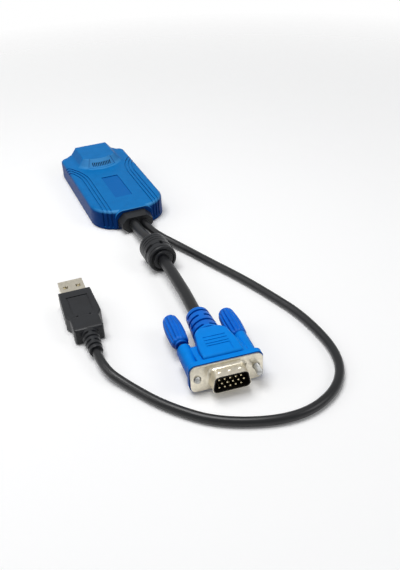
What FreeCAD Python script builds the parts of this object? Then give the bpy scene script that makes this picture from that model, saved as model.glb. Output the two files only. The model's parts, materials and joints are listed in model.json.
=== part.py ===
"""KVM dongle: a small moulded box with a network socket at one end, and two
short leads at the other, one to a video plug and one to a USB plug.

Frame: +X runs along the box towards its leads, +Y to the right of a reader who
faces the lead end, +Z up.  The origin is the bottom centre of the box's
bounding box.  Each plug is drawn in a frame of its own and placed by the sheet.
"""
import FreeCAD
import Part
import Sketcher
import math
import os
import re

doc = FreeCAD.newDocument("kvm_dongle")
sizes = doc.addObject("Spreadsheet::Sheet", "sizes")

# Driving dimensions in millimetres, and in degrees where the note says so.
SIZES = [
    # the box
    ("housing_length", 91.0, "overall, socket end to the rim of the lead opening"),
    ("housing_width", 43.0, "overall"),
    ("housing_height", 12.0, "to the main top face"),
    ("hump_height", 17.3, "to the top of the hump over the socket"),
    ("hump_half_width", 10.2, "half of the hump's flat top"),
    ("hump_nose_x", -20.6, "front of the hump's flat top"),
    ("hump_nose_radius", 12.5, "plan radius of the hump's front at its top"),
    ("hump_slope", 38.0, "degrees that the hump's sides lean from upright"),
    ("skirt_height", 0.9, "flatter foot of the hump, above the main top"),
    ("skirt_reach", 1.3, "flatter foot of the hump, beyond its side"),
    ("hump_edge", 0.7, "fillet round the hump's flat top"),
    ("shell_wall", 1.6, "walls and ceiling of the upper shell"),
    ("base_thickness", 1.6, "floor of the lower shell"),
    ("base_edge", 0.6, "bevel round the underside"),
    ("near_corner", 15.5, "plan radius of the corners at the lead end"),
    ("far_corner", 4.5, "plan radius of the corners at the socket end"),
    ("shoulder", 2.2, "fillet between walls and top"),
    ("rim_proud", 0.5, "rim of the lead opening, ahead of the end wall"),
    ("rim_width", 1.4, "rim round the lead opening"),
    ("lip_height", 1.2, "locating lip of the lower shell"),
    ("lip_thickness", 1.0, "locating lip of the lower shell"),
    ("fit_gap", 0.1, "clearance between pieces that fit together"),
    ("groove_depth", 0.5, "decorative grooves"),
    ("groove_width", 0.9, "decorative grooves"),
    ("groove_first", 12.4, "innermost groove from the middle plane"),
    ("groove_pitch", 2.1, "between decorative grooves"),
    ("groove_bend_x", -3.0, "where the grooves start to curve outward"),
    ("groove_bend_radius", 40.0, "bend of the innermost groove"),
    ("label_length", 30.5, "recess in the top"),
    ("label_width", 10.2, "recess in the top"),
    ("label_x", 12.3, "middle of the recess"),
    ("label_depth", 0.4, "recess in the top"),
    ("vent_depth", 0.5, "sunk face of the vent in the hump's front"),
    ("vent_foot", 12.7, "height of the vent's lower edge"),
    ("vent_half_angle", 33.0, "degrees of the vent each side of the middle plane"),
    ("slot_width", 0.55, "vent slot"),
    ("slot_pitch", 1.12, "vent slots"),
    ("slot_count", 11, "vent slots"),
    ("slot_bottom", 13.1, "height of the foot of the vent slots"),
    ("slot_height", 2.2, "vent slot"),
    # fasteners of the box
    ("post_radius", 2.9, "screw posts"),
    ("post_far_inset", 20.0, "screw posts from the socket end"),
    ("post_near_inset", 18.0, "screw posts from the lead end"),
    ("post_side_inset", 4.9, "screw posts from the side walls' outside"),
    ("screw_radius", 0.85, "self-tapping screw"),
    ("screw_length", 7.0, "under its head"),
    ("head_radius", 1.7, "screw head"),
    ("head_height", 1.0, "screw head"),
    ("recess_depth", 1.2, "counterbore for the screw head"),
    # circuit board and what it carries
    ("board_bottom", 2.4, "height of the board's underside"),
    ("board_thickness", 1.2, "circuit board"),
    ("board_side_gap", 1.4, "board edge from the inside of the side walls"),
    ("board_far_gap", 1.5, "board edge from the inside of the socket end"),
    ("board_near_gap", 11.8, "board edge from the inside of the lead end"),
    ("board_corner", 2.0, "circuit board"),
    ("jack_width", 15.9, "network socket body"),
    ("jack_height", 11.3, "network socket body"),
    ("jack_depth", 15.4, "network socket body"),
    ("jack_mouth_width", 11.9, "opening for the network plug"),
    ("jack_mouth_height", 6.8, "opening for the network plug"),
    ("jack_mouth_sill", 3.4, "floor of the opening above the board"),
    ("jack_mouth_depth", 12.2, "opening for the network plug"),
    ("latch_width", 6.4, "channel for the plug's latch"),
    ("latch_depth", 2.3, "channel for the plug's latch"),
    ("contact_pitch", 1.02, "network contacts"),
    ("capacitor_radius", 2.5, "capacitor cans"),
    ("capacitor_height", 5.3, "capacitor cans"),
    ("video_wire", 0.6, "radius of the video lead's wires"),
    ("usb_wire", 0.5, "radius of the USB lead's wires"),
    ("video_wire_pitch", 2.3, "between wires"),
    ("usb_wire_pitch", 2.0, "between wires"),
    # moulded cable grommet
    ("grommet_half_width", 9.8, "at the end wall"),
    ("grommet_bottom", 0.4, "height of its underside outside the box"),
    ("grommet_top", 10.4, "height of its top at the end wall"),
    ("grommet_corner", 3.6, "bevel of its corners"),
    ("grommet_length", 6.3, "outside the rim"),
    ("grommet_taper", 0.8, "each side draws in by this much to its front"),
    ("flange_thickness", 2.0, "collar inside the end wall"),
    ("flange_step", 0.8, "collar beyond the neck, each side"),
    ("flange_setback", 1.0, "collar behind the end wall, clear of the box's rounded corners"),
    # leads
    ("video_cable_radius", 2.95, "round cable"),
    ("usb_cable_radius", 2.0, "round cable"),
    # ferrite on the video lead
    ("ferrite_x", 82.0, "back end of the sleeve"),
    ("ferrite_y", -1.85, "axis from the middle plane"),
    ("ferrite_radius", 7.7, "sleeve, and the height of its axis"),
    ("ferrite_length", 17.8, "sleeve"),
    ("collar_radius", 3.9, "small collars at the sleeve's ends"),
    ("core_radius", 5.9, "ferrite ring inside the sleeve"),
    ("core_length", 12.0, "ferrite ring inside the sleeve"),
    ("ferrite_bore", 3.25, "radius of the way through for the cable"),
    # video plug, in its own frame: X out of the plug, origin at its front plate
    ("video_plug_x", 192.5, "front plate from the origin"),
    ("video_plug_y", -8.6, "front plate from the middle plane"),
    ("video_plug_yaw", -5.3, "degrees that it is turned"),
    ("hood_half_height", 7.6, "hood, and the height of the plug's axis"),
    ("block_half_width", 15.8, "block behind the plate"),
    ("block_half_height", 6.7, "block behind the plate"),
    ("block_depth", 4.8, "block behind the plate, front to back"),
    ("block_corner", 2.9, "block's corners"),
    ("boss_radius", 3.2, "tubes for the thumbscrews"),
    ("boss_back", 19.0, "back of the tubes behind the plate's front"),
    ("bulb_half_width", 8.0, "middle of the hood"),
    ("bulb_back", 24.5, "back of the middle behind the plate's front"),
    ("bulb_corner", 5.0, "plan radius at the back of the middle"),
    ("bulb_edge", 1.2, "fillet round the middle's top and bottom"),
    ("relief_back", 40.5, "back of the strain relief"),
    ("relief_base_radius", 6.3, "strain relief at the hood"),
    ("relief_tip_radius", 5.4, "strain relief at the cable"),
    ("relief_ring_pitch", 3.9, "grooves of the strain relief"),
    ("relief_groove", 1.2, "width and depth of those grooves"),
    ("plate_thickness", 0.9, "front plate"),
    ("plate_half_width", 15.4, "front plate"),
    ("plate_half_height", 6.25, "front plate"),
    ("plate_corner", 2.6, "front plate"),
    ("hole_spread", 12.5, "screw holes from the middle"),
    ("hole_radius", 1.6, "screw holes"),
    ("shell_half_width", 8.46, "connector shell at its wide side"),
    ("shell_half_height", 4.18, "connector shell"),
    ("shell_lean", 10.0, "degrees that the shell's ends lean"),
    ("shell_corner", 2.2, "connector shell"),
    ("shell_proud", 5.9, "connector shell ahead of the plate"),
    ("shell_metal", 0.45, "connector shell"),
    ("insulator_front", 0.6, "insulator ahead of the plate"),
    ("insulator_back", 7.6, "insulator behind the plate's front"),
    ("pin_radius", 0.34, "contact pin"),
    ("pin_pitch", 2.29, "pins of a row"),
    ("pin_row", 1.98, "rows of pins"),
    ("pin_proud", 5.3, "pin tips ahead of the plate"),
    ("can_half_width", 9.5, "metal can behind the plate"),
    ("can_half_height", 5.1, "metal can behind the plate"),
    # thumbscrews
    ("knob_length", 20.3, "knob"),
    ("knob_radius", 4.2, "knob at its waist"),
    ("knob_end_radius", 2.8, "knob at its ends"),
    ("knob_socket", 7.0, "shank inside the knob"),
    ("flute_radius", 0.6, "finger grooves of the knob"),
    ("flute_count", 12, "finger grooves of the knob"),
    ("thread_radius", 1.42, "screw thread, 4-40 size"),
    ("thread_length", 13.0, "threaded stretch"),
    ("neck_radius", 1.1, "shank behind the thread"),
    ("screw_proud", 5.0, "tip ahead of the plate when pushed home"),
    ("screw_float", 3.7, "axial travel between the hood's stops"),
    ("running_gap", 0.08, "clearance round a turning screw"),
    # USB plug, in its own frame: X towards its cable, origin where the shell leaves the grip
    ("usb_plug_x", 106.4, "grip front from the origin"),
    ("usb_plug_y", -50.3, "grip front from the middle plane"),
    ("usb_plug_yaw", -2.3, "degrees that it is turned"),
    ("grip_half_height", 4.1, "grip, and the height of the plug's axis"),
    ("grip_front_half_width", 7.8, "grip"),
    ("grip_half_width", 8.4, "grip at its widest"),
    ("grip_wide_back", 12.5, "widest point from the grip's back"),
    ("grip_waist_half_width", 6.7, "finger scallop"),
    ("grip_waist_start", 9.5, "finger scallop from the grip's back"),
    ("grip_waist_end", 3.2, "finger scallop from the grip's back"),
    ("grip_length", 33.0, "grip"),
    ("grip_scallop", 2.2, "radii where the finger scallops start and end"),
    ("grip_edge", 0.9, "fillet round the grip's top and bottom"),
    ("grip_relief_length", 12.5, "strain relief"),
    ("grip_relief_base", 4.05, "radius at the grip"),
    ("grip_relief_tip", 2.95, "radius at the cable"),
    ("grip_groove", 0.7, "width of the grooves in the grip"),
    ("grip_groove_depth", 0.35, "depth of the grooves in the grip"),
    ("usb_shell_half_width", 6.0, "metal shell"),
    ("usb_shell_half_height", 2.25, "metal shell"),
    ("usb_shell_metal", 0.3, "metal shell"),
    ("usb_shell_proud", 12.2, "metal shell ahead of the grip"),
    ("usb_shell_buried", 9.0, "metal shell inside the grip"),
    ("usb_window", 2.3, "latch windows of the shell"),
    ("usb_window_spread", 3.1, "windows from the middle"),
    ("usb_window_x", 6.0, "windows behind the shell's mouth"),
    ("tongue_thickness", 1.9, "insulator under the contacts"),
    ("tongue_setback", 0.6, "insulator behind the shell's mouth"),
    ("usb_contact_height", 0.15, "contact strips"),
]
for row, (alias, number, note) in enumerate(SIZES, start=1):
    sizes.set(f"A{row}", note)
    sizes.set(f"B{row}", str(number))
    sizes.setAlias(f"B{row}", alias)
doc.recompute()
ALIASES = {alias for alias, number, note in SIZES}

# Places that several pieces share, worked out from the sheet.
FAR_WALL = "(-housing_length / 2)"
NEAR_WALL = "(housing_length / 2 - rim_proud)"
HALF_WIDTH = "(housing_width / 2)"
BOARD_HALF = "(housing_width / 2 - shell_wall - board_side_gap)"
BOARD_FAR = "(shell_wall + board_far_gap - housing_length / 2)"
BOARD_NEAR = "(housing_length / 2 - rim_proud - shell_wall - board_near_gap)"
POST_FAR = "(post_far_inset - housing_length / 2)"
POST_NEAR = "(housing_length / 2 - rim_proud - post_near_inset)"
POST_SIDE = "(housing_width / 2 - post_side_inset)"
CEILING = "(housing_height - shell_wall)"
BOARD_TOP = "(board_bottom + board_thickness)"
SHOULDER_FOOT = "(housing_height - shoulder)"
HUMP_DRAW = "((hump_height - housing_height + shoulder) * tan(hump_slope * 1deg))"
MOUTH_FLOOR = "(board_bottom + board_thickness + jack_mouth_sill)"
FLANGE_BACK = "(housing_length / 2 - rim_proud - shell_wall - flange_setback - flange_thickness)"
VIDEO_PLUG = ("placement(vector(video_plug_x; video_plug_y; hood_half_height);"
              " rotation(vector(0; 0; 1); video_plug_yaw))")
USB_PLUG = ("placement(vector(usb_plug_x; usb_plug_y; grip_half_height);"
            " rotation(vector(0; 0; 1); usb_plug_yaw))")
FERRITE = "placement(vector(ferrite_x; ferrite_y; ferrite_radius); rotation(vector(0; 0; 1); 0))"


# ---------------------------------------------------------------- helpers
def bound(text):
    """The expression in which each size's name points at its cell of the sheet."""
    return re.sub(r"[a-z][a-z_]+", lambda word: "sizes." + word[0] if word[0] in ALIASES else word[0], text)


def value(text):
    """The number that an expression has now."""
    return float(sizes.evalExpression(bound(text)))


def new_body(name, placed=None):
    """An empty body, placed by an expression if it sits in a plug's frame."""
    body = doc.addObject("PartDesign::Body", name)
    body.Label = name
    if placed:
        body.setExpression("Placement", bound(placed))
    return body


def origin_feature(body, role):
    return next(item for item in body.Origin.OriginFeatures if item.Role == role)


def pin_point(sketch, geometry, end, x, y):
    """Ties one end of a line or arc, or a circle's centre, to two expressions."""
    for kind, text in (("DistanceX", x), ("DistanceY", y)):
        index = sketch.addConstraint(Sketcher.Constraint(kind, -1, 1, geometry, end, value(text)))
        sketch.setExpression(f"Constraints[{index}]", bound(text))


def draw_arc(sketch, start, finish, text):
    """An arc between two points; with a leading minus it bends into a ccw outline."""
    hollow = text.startswith("-")
    radius = abs(value(text))
    chord = finish - start
    reach = math.sqrt(max(radius ** 2 - chord.Length ** 2 / 4, 0.0))
    side = FreeCAD.Vector(-chord.y, chord.x, 0).normalize() * (-1 if hollow else 1)
    centre = (start + finish) * 0.5 + side * reach
    first, last = (finish, start) if hollow else (start, finish)
    angles = [math.atan2(point.y - centre.y, point.x - centre.x) for point in (first, last)]
    circle = Part.Circle(centre, FreeCAD.Vector(0, 0, 1), radius)
    index = sketch.addGeometry(Part.ArcOfCircle(circle, *angles), False)
    rule = sketch.addConstraint(Sketcher.Constraint("Radius", index, radius))
    sketch.setExpression(f"Constraints[{rule}]", bound(text.lstrip("-")))
    return (index, 2, 1) if hollow else (index, 1, 2)


def draw_outline(sketch, corners):
    """A closed outline.  A corner is (x, y), or (x, y, radius) if an arc leaves it."""
    points = [FreeCAD.Vector(value(corner[0]), value(corner[1]), 0) for corner in corners]
    edges = []
    for number, corner in enumerate(corners):
        start, finish = points[number], points[(number + 1) % len(points)]
        if len(corner) == 3:
            edges.append(draw_arc(sketch, start, finish, corner[2]))
        else:
            edges.append((sketch.addGeometry(Part.LineSegment(start, finish), False), 1, 2))
    for number, (index, head, tail) in enumerate(edges):
        after, after_head, after_tail = edges[(number + 1) % len(edges)]
        sketch.addConstraint(Sketcher.Constraint("Coincident", index, tail, after, after_head))
        pin_point(sketch, index, head, corners[number][0], corners[number][1])


def draw_circle(sketch, x, y, radius):
    centre = FreeCAD.Vector(value(x), value(y), 0)
    circle = Part.Circle(centre, FreeCAD.Vector(0, 0, 1), value(radius))
    index = sketch.addGeometry(circle, False)
    pin_point(sketch, index, 3, x, y)
    rule = sketch.addConstraint(Sketcher.Constraint("Radius", index, value(radius)))
    sketch.setExpression(f"Constraints[{rule}]", bound(radius))


def add_sketch(body, name, role, outlines=(), circles=(), offset="0", shift=("0", "0")):
    """A sketch on one of the body's own origin planes, moved by expressions."""
    sketch = body.newObject("Sketcher::SketchObject", f"{body.Name}_{name}")
    sketch.AttachmentSupport = [(origin_feature(body, role), "")]
    sketch.MapMode = "FlatFace"
    for axis, text in zip("xyz", (*shift, offset)):
        sketch.setExpression(f"AttachmentOffset.Base.{axis}", bound(text))
    for outline in outlines:
        draw_outline(sketch, outline)
    for circle in circles:
        draw_circle(sketch, *circle)
    return sketch


def built(item):
    """Recomputes, and stops at the first feature that has no shape."""
    doc.recompute()
    if "Invalid" in item.State or item.Shape.isNull():
        raise RuntimeError(f"{item.Name} fails: {item.getStatusString()}")
    return item


def pad(body, name, sketch, length, taper=None, backward=False):
    item = body.newObject("PartDesign::Pad", f"{body.Name}_{name}")
    item.Profile = sketch
    item.setExpression("Length", bound(length))
    item.Reversed = backward
    if taper:
        item.setExpression("TaperAngle", bound(taper))
    return built(item)


def cut(body, kind, name, sketch, **settings):
    """A pocket or groove, which must take material away."""
    before = body.Shape.Volume
    item = body.newObject(f"PartDesign::{kind}", f"{body.Name}_{name}")
    item.Profile = sketch
    for key, setting in settings.items():
        if isinstance(setting, str):
            item.setExpression(key, bound(setting))
        else:
            setattr(item, key, setting)
    built(item)
    if body.Shape.Volume > before - 1e-6:
        raise RuntimeError(f"{item.Name} cuts nothing")
    return item


def pocket(body, name, sketch, length, forward=False):
    """Cuts against the sketch's normal, or along it if forward."""
    return cut(body, "Pocket", name, sketch, Length=length, Reversed=forward)


def revolve(body, name, sketch):
    item = body.newObject("PartDesign::Revolution", f"{body.Name}_{name}")
    item.Profile = sketch
    item.ReferenceAxis = (sketch, ["H_Axis"])
    item.Angle = 360
    return built(item)


def dress(body, kind, name, wanted, size):
    """A fillet or chamfer on the edges of the body so far that a test picks."""
    base = body.Tip
    names = [f"Edge{number}" for number, edge in enumerate(base.Shape.Edges, start=1) if wanted(edge)]
    if not names:
        raise RuntimeError(f"{body.Name}_{name} finds no edge")
    item = body.newObject(f"PartDesign::{kind}", f"{body.Name}_{name}")
    item.Base = (base, names)
    item.setExpression("Radius" if kind == "Fillet" else "Size", bound(size))
    return built(item)


def pattern(body, kind, name, feature, **settings):
    item = body.newObject(f"PartDesign::{kind}", f"{body.Name}_{name}")
    item.Originals = [feature]
    for key, setting in settings.items():
        if isinstance(setting, str):
            item.setExpression(key, bound(setting))
        else:
            setattr(item, key, setting)
    body.Tip = item
    return built(item)


def box_outline(x0, y0, x1, y1):
    return [(x0, y0), (x1, y0), (x1, y1), (x0, y1)]


def rounded_outline(x0, y0, x1, y1, left, right):
    """A rectangle with one radius for its left corners and one for its right ones."""
    return [(f"{x0} + {left}", y0), (f"{x1} - {right}", y0, right),
            (x1, f"{y0} + {right}"), (x1, f"{y1} - {right}", right),
            (f"{x1} - {right}", y1), (f"{x0} + {left}", y1, left),
            (x0, f"{y1} - {left}"), (x0, f"{y0} + {left}", left)]


def bevelled_outline(half, bottom, top, bevel):
    """An upright octagon about the middle plane, as (y, z) corners."""
    return [(f"-({half}) + {bevel}", bottom), (f"{half} - {bevel}", bottom),
            (half, f"{bottom} + {bevel}"), (half, f"{top} - {bevel}"),
            (f"{half} - {bevel}", top), (f"-({half}) + {bevel}", top),
            (f"-({half})", f"{top} - {bevel}"), (f"-({half})", f"{bottom} + {bevel}")]


def lies_at(edge, axis, height, slack=0.01):
    """True for an edge that lies wholly in the plane axis = height."""
    box = edge.BoundBox
    low, high = getattr(box, axis + "Min"), getattr(box, axis + "Max")
    return abs(low - height) < slack and abs(high - height) < slack


def part_object(kind, name, placed=None, **settings):
    """A Part primitive or boolean; texts are bound to the sheet."""
    item = doc.addObject(f"Part::{kind}", name)
    for key, setting in settings.items():
        if isinstance(setting, str):
            item.setExpression(key, bound(setting))
        else:
            setattr(item, key, setting)
    if placed:
        item.setExpression("Placement", bound(placed))
    return item


def at(x, y, z):
    """Placement expression for a piece that isn't turned."""
    return f"placement(vector({x}; {y}; {z}); rotation(vector(0; 0; 1); 0))"


# ---------------------------------------------------------------- the box
def shell_plan(inset="0"):
    """Plan of the box, drawn in all round by the inset."""
    return rounded_outline(f"{FAR_WALL} + {inset}", f"-{HALF_WIDTH} + {inset}",
                           f"{NEAR_WALL} - {inset}", f"{HALF_WIDTH} - {inset}",
                           f"(far_corner - {inset})", f"(near_corner - {inset})")


def screw_places():
    """Middles of the four screw posts."""
    return [(x, sign + POST_SIDE) for x in (POST_FAR, POST_NEAR) for sign in ("", "-")]


def hump_outline(half, radius, tail):
    """Plan of the hump: straight sides and a round nose."""
    start = f"hump_nose_x - hump_nose_radius + sqrt({radius} ^ 2 - {half} ^ 2)"
    return [(tail, f"-{half}"), (start, f"-{half}", radius), (start, half), (tail, half)]


def add_hump(body):
    """The raised part over the socket: leaning sides and a round nose on a flatter skirt."""
    skirt = "atan((skirt_reach + skirt_height * tan(hump_slope * 1deg) + fit_gap) / skirt_height)"
    side = "((hump_height - housing_height) * tan(hump_slope * 1deg) + skirt_reach)"
    skirt_draw = f"({side} + shoulder * tan({skirt}))"
    for name, draw, height, lean in (("hump", HUMP_DRAW, "hump_height - housing_height", "-hump_slope"),
                                     ("skirt", skirt_draw, "skirt_height", f"-{skirt}")):
        plan = add_sketch(body, f"{name}_plan", "XY_Plane", offset=SHOULDER_FOOT, outlines=[
            hump_outline(f"(hump_half_width + {draw})", f"(hump_nose_radius + {draw})",
                         f"{FAR_WALL} - housing_height")])
        pad(body, name, plan, f"shoulder + {height}", taper=lean)
    end = add_sketch(body, "hump_end", "YZ_Plane", offset=FAR_WALL, outlines=[
        box_outline("-housing_width", "-1", "housing_width", "2 * hump_height")])
    pocket(body, "hump_trim", end, "housing_length")
    top, far = value("hump_height"), value(FAR_WALL)
    dress(body, "Fillet", "hump_edges",
          lambda edge: lies_at(edge, "Z", top) and not lies_at(edge, "X", far), "hump_edge")


def add_vent(body):
    """A sunk face round the hump's nose, open to the flat top."""
    centre = "(hump_nose_x - hump_nose_radius)"
    over = "(hump_height + vent_depth)"
    profile = add_sketch(body, "vent_profile", "XZ_Plane", shift=(centre, "0"), outlines=[
        [(f"{vent_reach('vent_foot')} - vent_depth", "vent_foot"),
         (f"{vent_reach('vent_foot')} + skirt_reach", "vent_foot"),
         (f"{vent_reach(over)} + skirt_reach", over),
         (f"{vent_reach(over)} - vent_depth", over)]])
    cut(body, "Groove", "vent", profile, ReferenceAxis=(profile, ["V_Axis"]),
        Midplane=True, Angle="2 * vent_half_angle")


def vent_reach(height):
    """Plan radius of the hump's nose at a height."""
    return f"(hump_nose_radius + (hump_height - {height}) * tan(hump_slope * 1deg))"


def add_slots(body):
    """Upright vent slots, cut along -X through the hump's front."""
    first = "(-(slot_count - 1) / 2 * slot_pitch)"
    slot = add_sketch(body, "slot_profile", "YZ_Plane", offset="hump_nose_x + hump_height - housing_height",
                      outlines=[box_outline(f"{first} - slot_width / 2", "slot_bottom",
                                            f"{first} + slot_width / 2", "slot_bottom + slot_height")])
    first_slot = pocket(body, "slot", slot, "2 * (hump_height - housing_height)")
    pattern(body, "LinearPattern", "slots", first_slot, Direction=(origin_feature(body, "Y_Axis"), [""]),
            Length="(slot_count - 1) * slot_pitch", Occurrences=int(value("slot_count")))


def hollow_out(body):
    """The room inside: the box's, and the hump's with the same wall all round."""
    plan = add_sketch(body, "room_plan", "XY_Plane", offset="base_thickness",
                      outlines=[shell_plan("shell_wall")])
    pocket(body, "room", plan, f"{CEILING} - base_thickness", forward=True)
    wall = "(shell_wall / cos(hump_slope * 1deg))"
    draw = f"((hump_height - {CEILING}) * tan(hump_slope * 1deg))"
    plan = add_sketch(body, "attic_plan", "XY_Plane", offset=f"{CEILING} - fit_gap", outlines=[
        hump_outline(f"(hump_half_width + {draw} - {wall})", f"(hump_nose_radius + {draw} - {wall})",
                     f"{FAR_WALL} + shell_wall")])
    cut(body, "Pocket", "attic", plan, Reversed=True, TaperAngle="-hump_slope",
        Length=f"hump_height - shell_wall - {CEILING} + fit_gap")


def make_upper_shell():
    """The moulded box without its floor."""
    body = new_body("upper_moulding")
    plan = add_sketch(body, "plan", "XY_Plane", offset="base_thickness", outlines=[shell_plan()])
    pad(body, "box", plan, "housing_height - base_thickness")
    top = value("housing_height")
    dress(body, "Fillet", "shoulders", lambda edge: lies_at(edge, "Z", top), "shoulder")
    rim = "(grommet_half_width + rim_width)"
    corner = "(grommet_corner + rim_width)"
    arch = add_sketch(body, "rim_plan", "YZ_Plane", offset=f"{NEAR_WALL} - shoulder", outlines=[
        [(f"-{rim}", "base_thickness"), (rim, "base_thickness"), (rim, f"housing_height - {corner}", corner),
         (f"{rim} - {corner}", "housing_height"), (f"-{rim} + {corner}", "housing_height", corner),
         (f"-{rim}", f"housing_height - {corner}")]])
    pad(body, "rim", arch, "shoulder + rim_proud")
    front, foot = value("housing_length / 2"), value("base_thickness")
    dress(body, "Fillet", "rim_edge",
          lambda edge: lies_at(edge, "X", front) and not lies_at(edge, "Z", foot), "rim_proud * 0.8")
    add_hump(body)
    add_vent(body)
    hollow_out(body)
    add_slots(body)
    label = add_sketch(body, "label_plan", "XY_Plane", offset="housing_height", outlines=[
        box_outline("label_x - label_length / 2", "-label_width / 2",
                    "label_x + label_length / 2", "label_width / 2")])
    pocket(body, "label", label, "label_depth")
    mouth = "(jack_width / 2 + fit_gap)"
    jack = add_sketch(body, "jack_plan", "YZ_Plane", offset=FAR_WALL, outlines=[
        box_outline(f"-{mouth}", f"{BOARD_TOP} - fit_gap", mouth, f"{BOARD_TOP} + jack_height + fit_gap")])
    pocket(body, "jack_opening", jack, "jack_depth + 2 * fit_gap", forward=True)
    lead = add_sketch(body, "lead_plan", "YZ_Plane", offset="housing_length / 2",
                      outlines=[lead_arch("fit_gap", "base_thickness")])
    pocket(body, "lead_opening", lead, "rim_proud + 2 * shell_wall")
    posts = add_sketch(body, "post_plan", "XY_Plane", offset=BOARD_TOP,
                       circles=[(x, y, "post_radius") for x, y in screw_places()])
    pad(body, "posts", posts, f"{CEILING} - {BOARD_TOP} + fit_gap")
    pilots = add_sketch(body, "pilot_plan", "XY_Plane", offset=BOARD_TOP,
                        circles=[(x, y, "screw_radius + fit_gap / 2") for x, y in screw_places()])
    pocket(body, "pilots", pilots, f"recess_depth + screw_length - {BOARD_TOP} + shell_wall / 4", forward=True)
    cutter = doc.addObject("Part::Feature", "groove_cutter")
    cutter.Shape = groove_cutter()
    part_object("Cut", "upper_shell", Base=body, Tool=cutter).Label = "upper_shell"


def lead_arch(gap, foot):
    """Opening for the grommet's neck, as (y, z) corners, wider by the gap."""
    half, top = f"(grommet_half_width + {gap})", f"(grommet_top + {gap})"
    return [(f"-{half}", foot), (half, foot), (half, f"{top} - grommet_corner"),
            (f"{half} - grommet_corner", top), (f"-{half} + grommet_corner", top),
            (f"-{half}", f"{top} - grommet_corner")]


def groove_path(number, side):
    """Plan of one decorative groove: straight from the lead end, then bending outward."""
    y = value(f"groove_first + {number} * groove_pitch")
    radius = value("groove_bend_radius") - number * value("groove_pitch")
    half = value("groove_width") / 2
    bend, near = value("groove_bend_x"), value("housing_length / 2 + 1")
    turn = math.radians(50)
    edges = []
    ends = []
    for shift in (-half, half):
        r = radius - shift
        centre = FreeCAD.Vector(bend, side * (y + radius), 0)
        points = [centre + FreeCAD.Vector(-r * math.sin(a), -side * r * math.cos(a), 0)
                  for a in (0, turn / 2, turn)]
        start = FreeCAD.Vector(near, points[0].y, 0)
        edges += [Part.LineSegment(start, points[0]).toShape(), Part.Arc(*points).toShape()]
        ends.append((start, points[-1]))
    edges += [Part.LineSegment(*pair).toShape() for pair in zip(*ends)]
    return Part.Face(Part.Wire(Part.__sortEdges__(edges)))


def groove_cutter():
    """Strips along the grooves, less a box drawn in all round by their depth."""
    depth, top = value("groove_depth"), value("housing_height")
    up = FreeCAD.Vector(0, 0, 1)
    faces = [groove_path(number, side) for number in range(3) for side in (-1, 1)]
    foot = value(SHOULDER_FOOT)
    strips = []
    for face in faces:
        high = face.extrude(up * (top + 1 - foot))
        high.translate(up * foot)
        strips.append(high)
    near = value("housing_length / 2 - near_corner")
    low_box = Part.makeBox(value("near_corner + 2"), value("housing_width"), top,
                           FreeCAD.Vector(near, -value(HALF_WIDTH), value("base_thickness + groove_depth / 2")))
    low = [face.extrude(up * (top + 1)).common(low_box) for face in faces]
    plan = [FreeCAD.Vector(x, y, 0) for x, y in (
        (value(FAR_WALL) + depth, -value(HALF_WIDTH) + depth), (value(NEAR_WALL) - depth, -value(HALF_WIDTH) + depth),
        (value(NEAR_WALL) - depth, value(HALF_WIDTH) - depth), (value(FAR_WALL) + depth, value(HALF_WIDTH) - depth))]
    core = Part.Face(Part.makePolygon(plan + plan[:1])).extrude(up * (top - depth))
    upright = {"far": [], "near": []}
    for edge in core.Edges:
        if abs(edge.BoundBox.ZLength) > 1:
            upright["far" if edge.CenterOfMass.x < 0 else "near"].append(edge)
    core = core.makeFillet(value("far_corner") - depth, upright["far"])
    tall = [edge for edge in core.Edges if edge.BoundBox.ZLength > 1 and edge.CenterOfMass.x > 0]
    core = core.makeFillet(value("near_corner") - depth, tall)
    rim = [edge for edge in core.Edges if lies_at(edge, "Z", top - depth)]
    core = core.makeFillet(value("shoulder") - depth, rim)
    return Part.makeCompound([strip.cut(core) for strip in strips + low])


def make_lower_shell():
    """The floor, its locating lip and the posts that carry the board."""
    body = new_body("lower_shell")
    plan = add_sketch(body, "plan", "XY_Plane", outlines=[shell_plan()])
    pad(body, "floor", plan, "base_thickness")
    dress(body, "Chamfer", "bevel", lambda edge: lies_at(edge, "Z", 0.0), "base_edge")
    inner = "(shell_wall + fit_gap + lip_thickness)"
    lip = add_sketch(body, "lip_plan", "XY_Plane", offset="base_thickness", outlines=[
        shell_plan("(shell_wall + fit_gap)"), shell_plan(inner)])
    pad(body, "lip", lip, "lip_height")
    half = "(grommet_half_width + flange_step + fit_gap)"
    mouths = add_sketch(body, "mouth_plan", "XY_Plane", offset="base_thickness + lip_height", outlines=[
        box_outline(f"{FAR_WALL} + fit_gap", f"-{half}", POST_FAR, half),
        box_outline(POST_NEAR, f"-{half}", f"{NEAR_WALL} - fit_gap", half)])
    pocket(body, "mouths", mouths, "lip_height")
    posts = add_sketch(body, "post_plan", "XY_Plane", offset="base_thickness",
                       circles=[(x, y, "post_radius") for x, y in screw_places()])
    pad(body, "posts", posts, "board_bottom - base_thickness")
    lips = add_sketch(body, "bore_plan", "XY_Plane",
                      circles=[(x, y, "screw_radius + fit_gap") for x, y in screw_places()])
    pocket(body, "bores", lips, "board_bottom", forward=True)
    heads = add_sketch(body, "head_plan", "XY_Plane",
                       circles=[(x, y, "head_radius + fit_gap") for x, y in screw_places()])
    pocket(body, "head_recesses", heads, "recess_depth", forward=True)


def make_housing_screws():
    """Four self-tapping screws, driven from beneath."""
    body = new_body("housing_screws")
    body.AllowCompound = True
    heads = add_sketch(body, "head_plan", "XY_Plane", offset="recess_depth - head_height",
                       circles=[(x, y, "head_radius") for x, y in screw_places()])
    pad(body, "heads", heads, "head_height")
    shanks = add_sketch(body, "shank_plan", "XY_Plane", offset="recess_depth",
                        circles=[(x, y, "screw_radius") for x, y in screw_places()])
    pad(body, "shanks", shanks, "screw_length")


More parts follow.
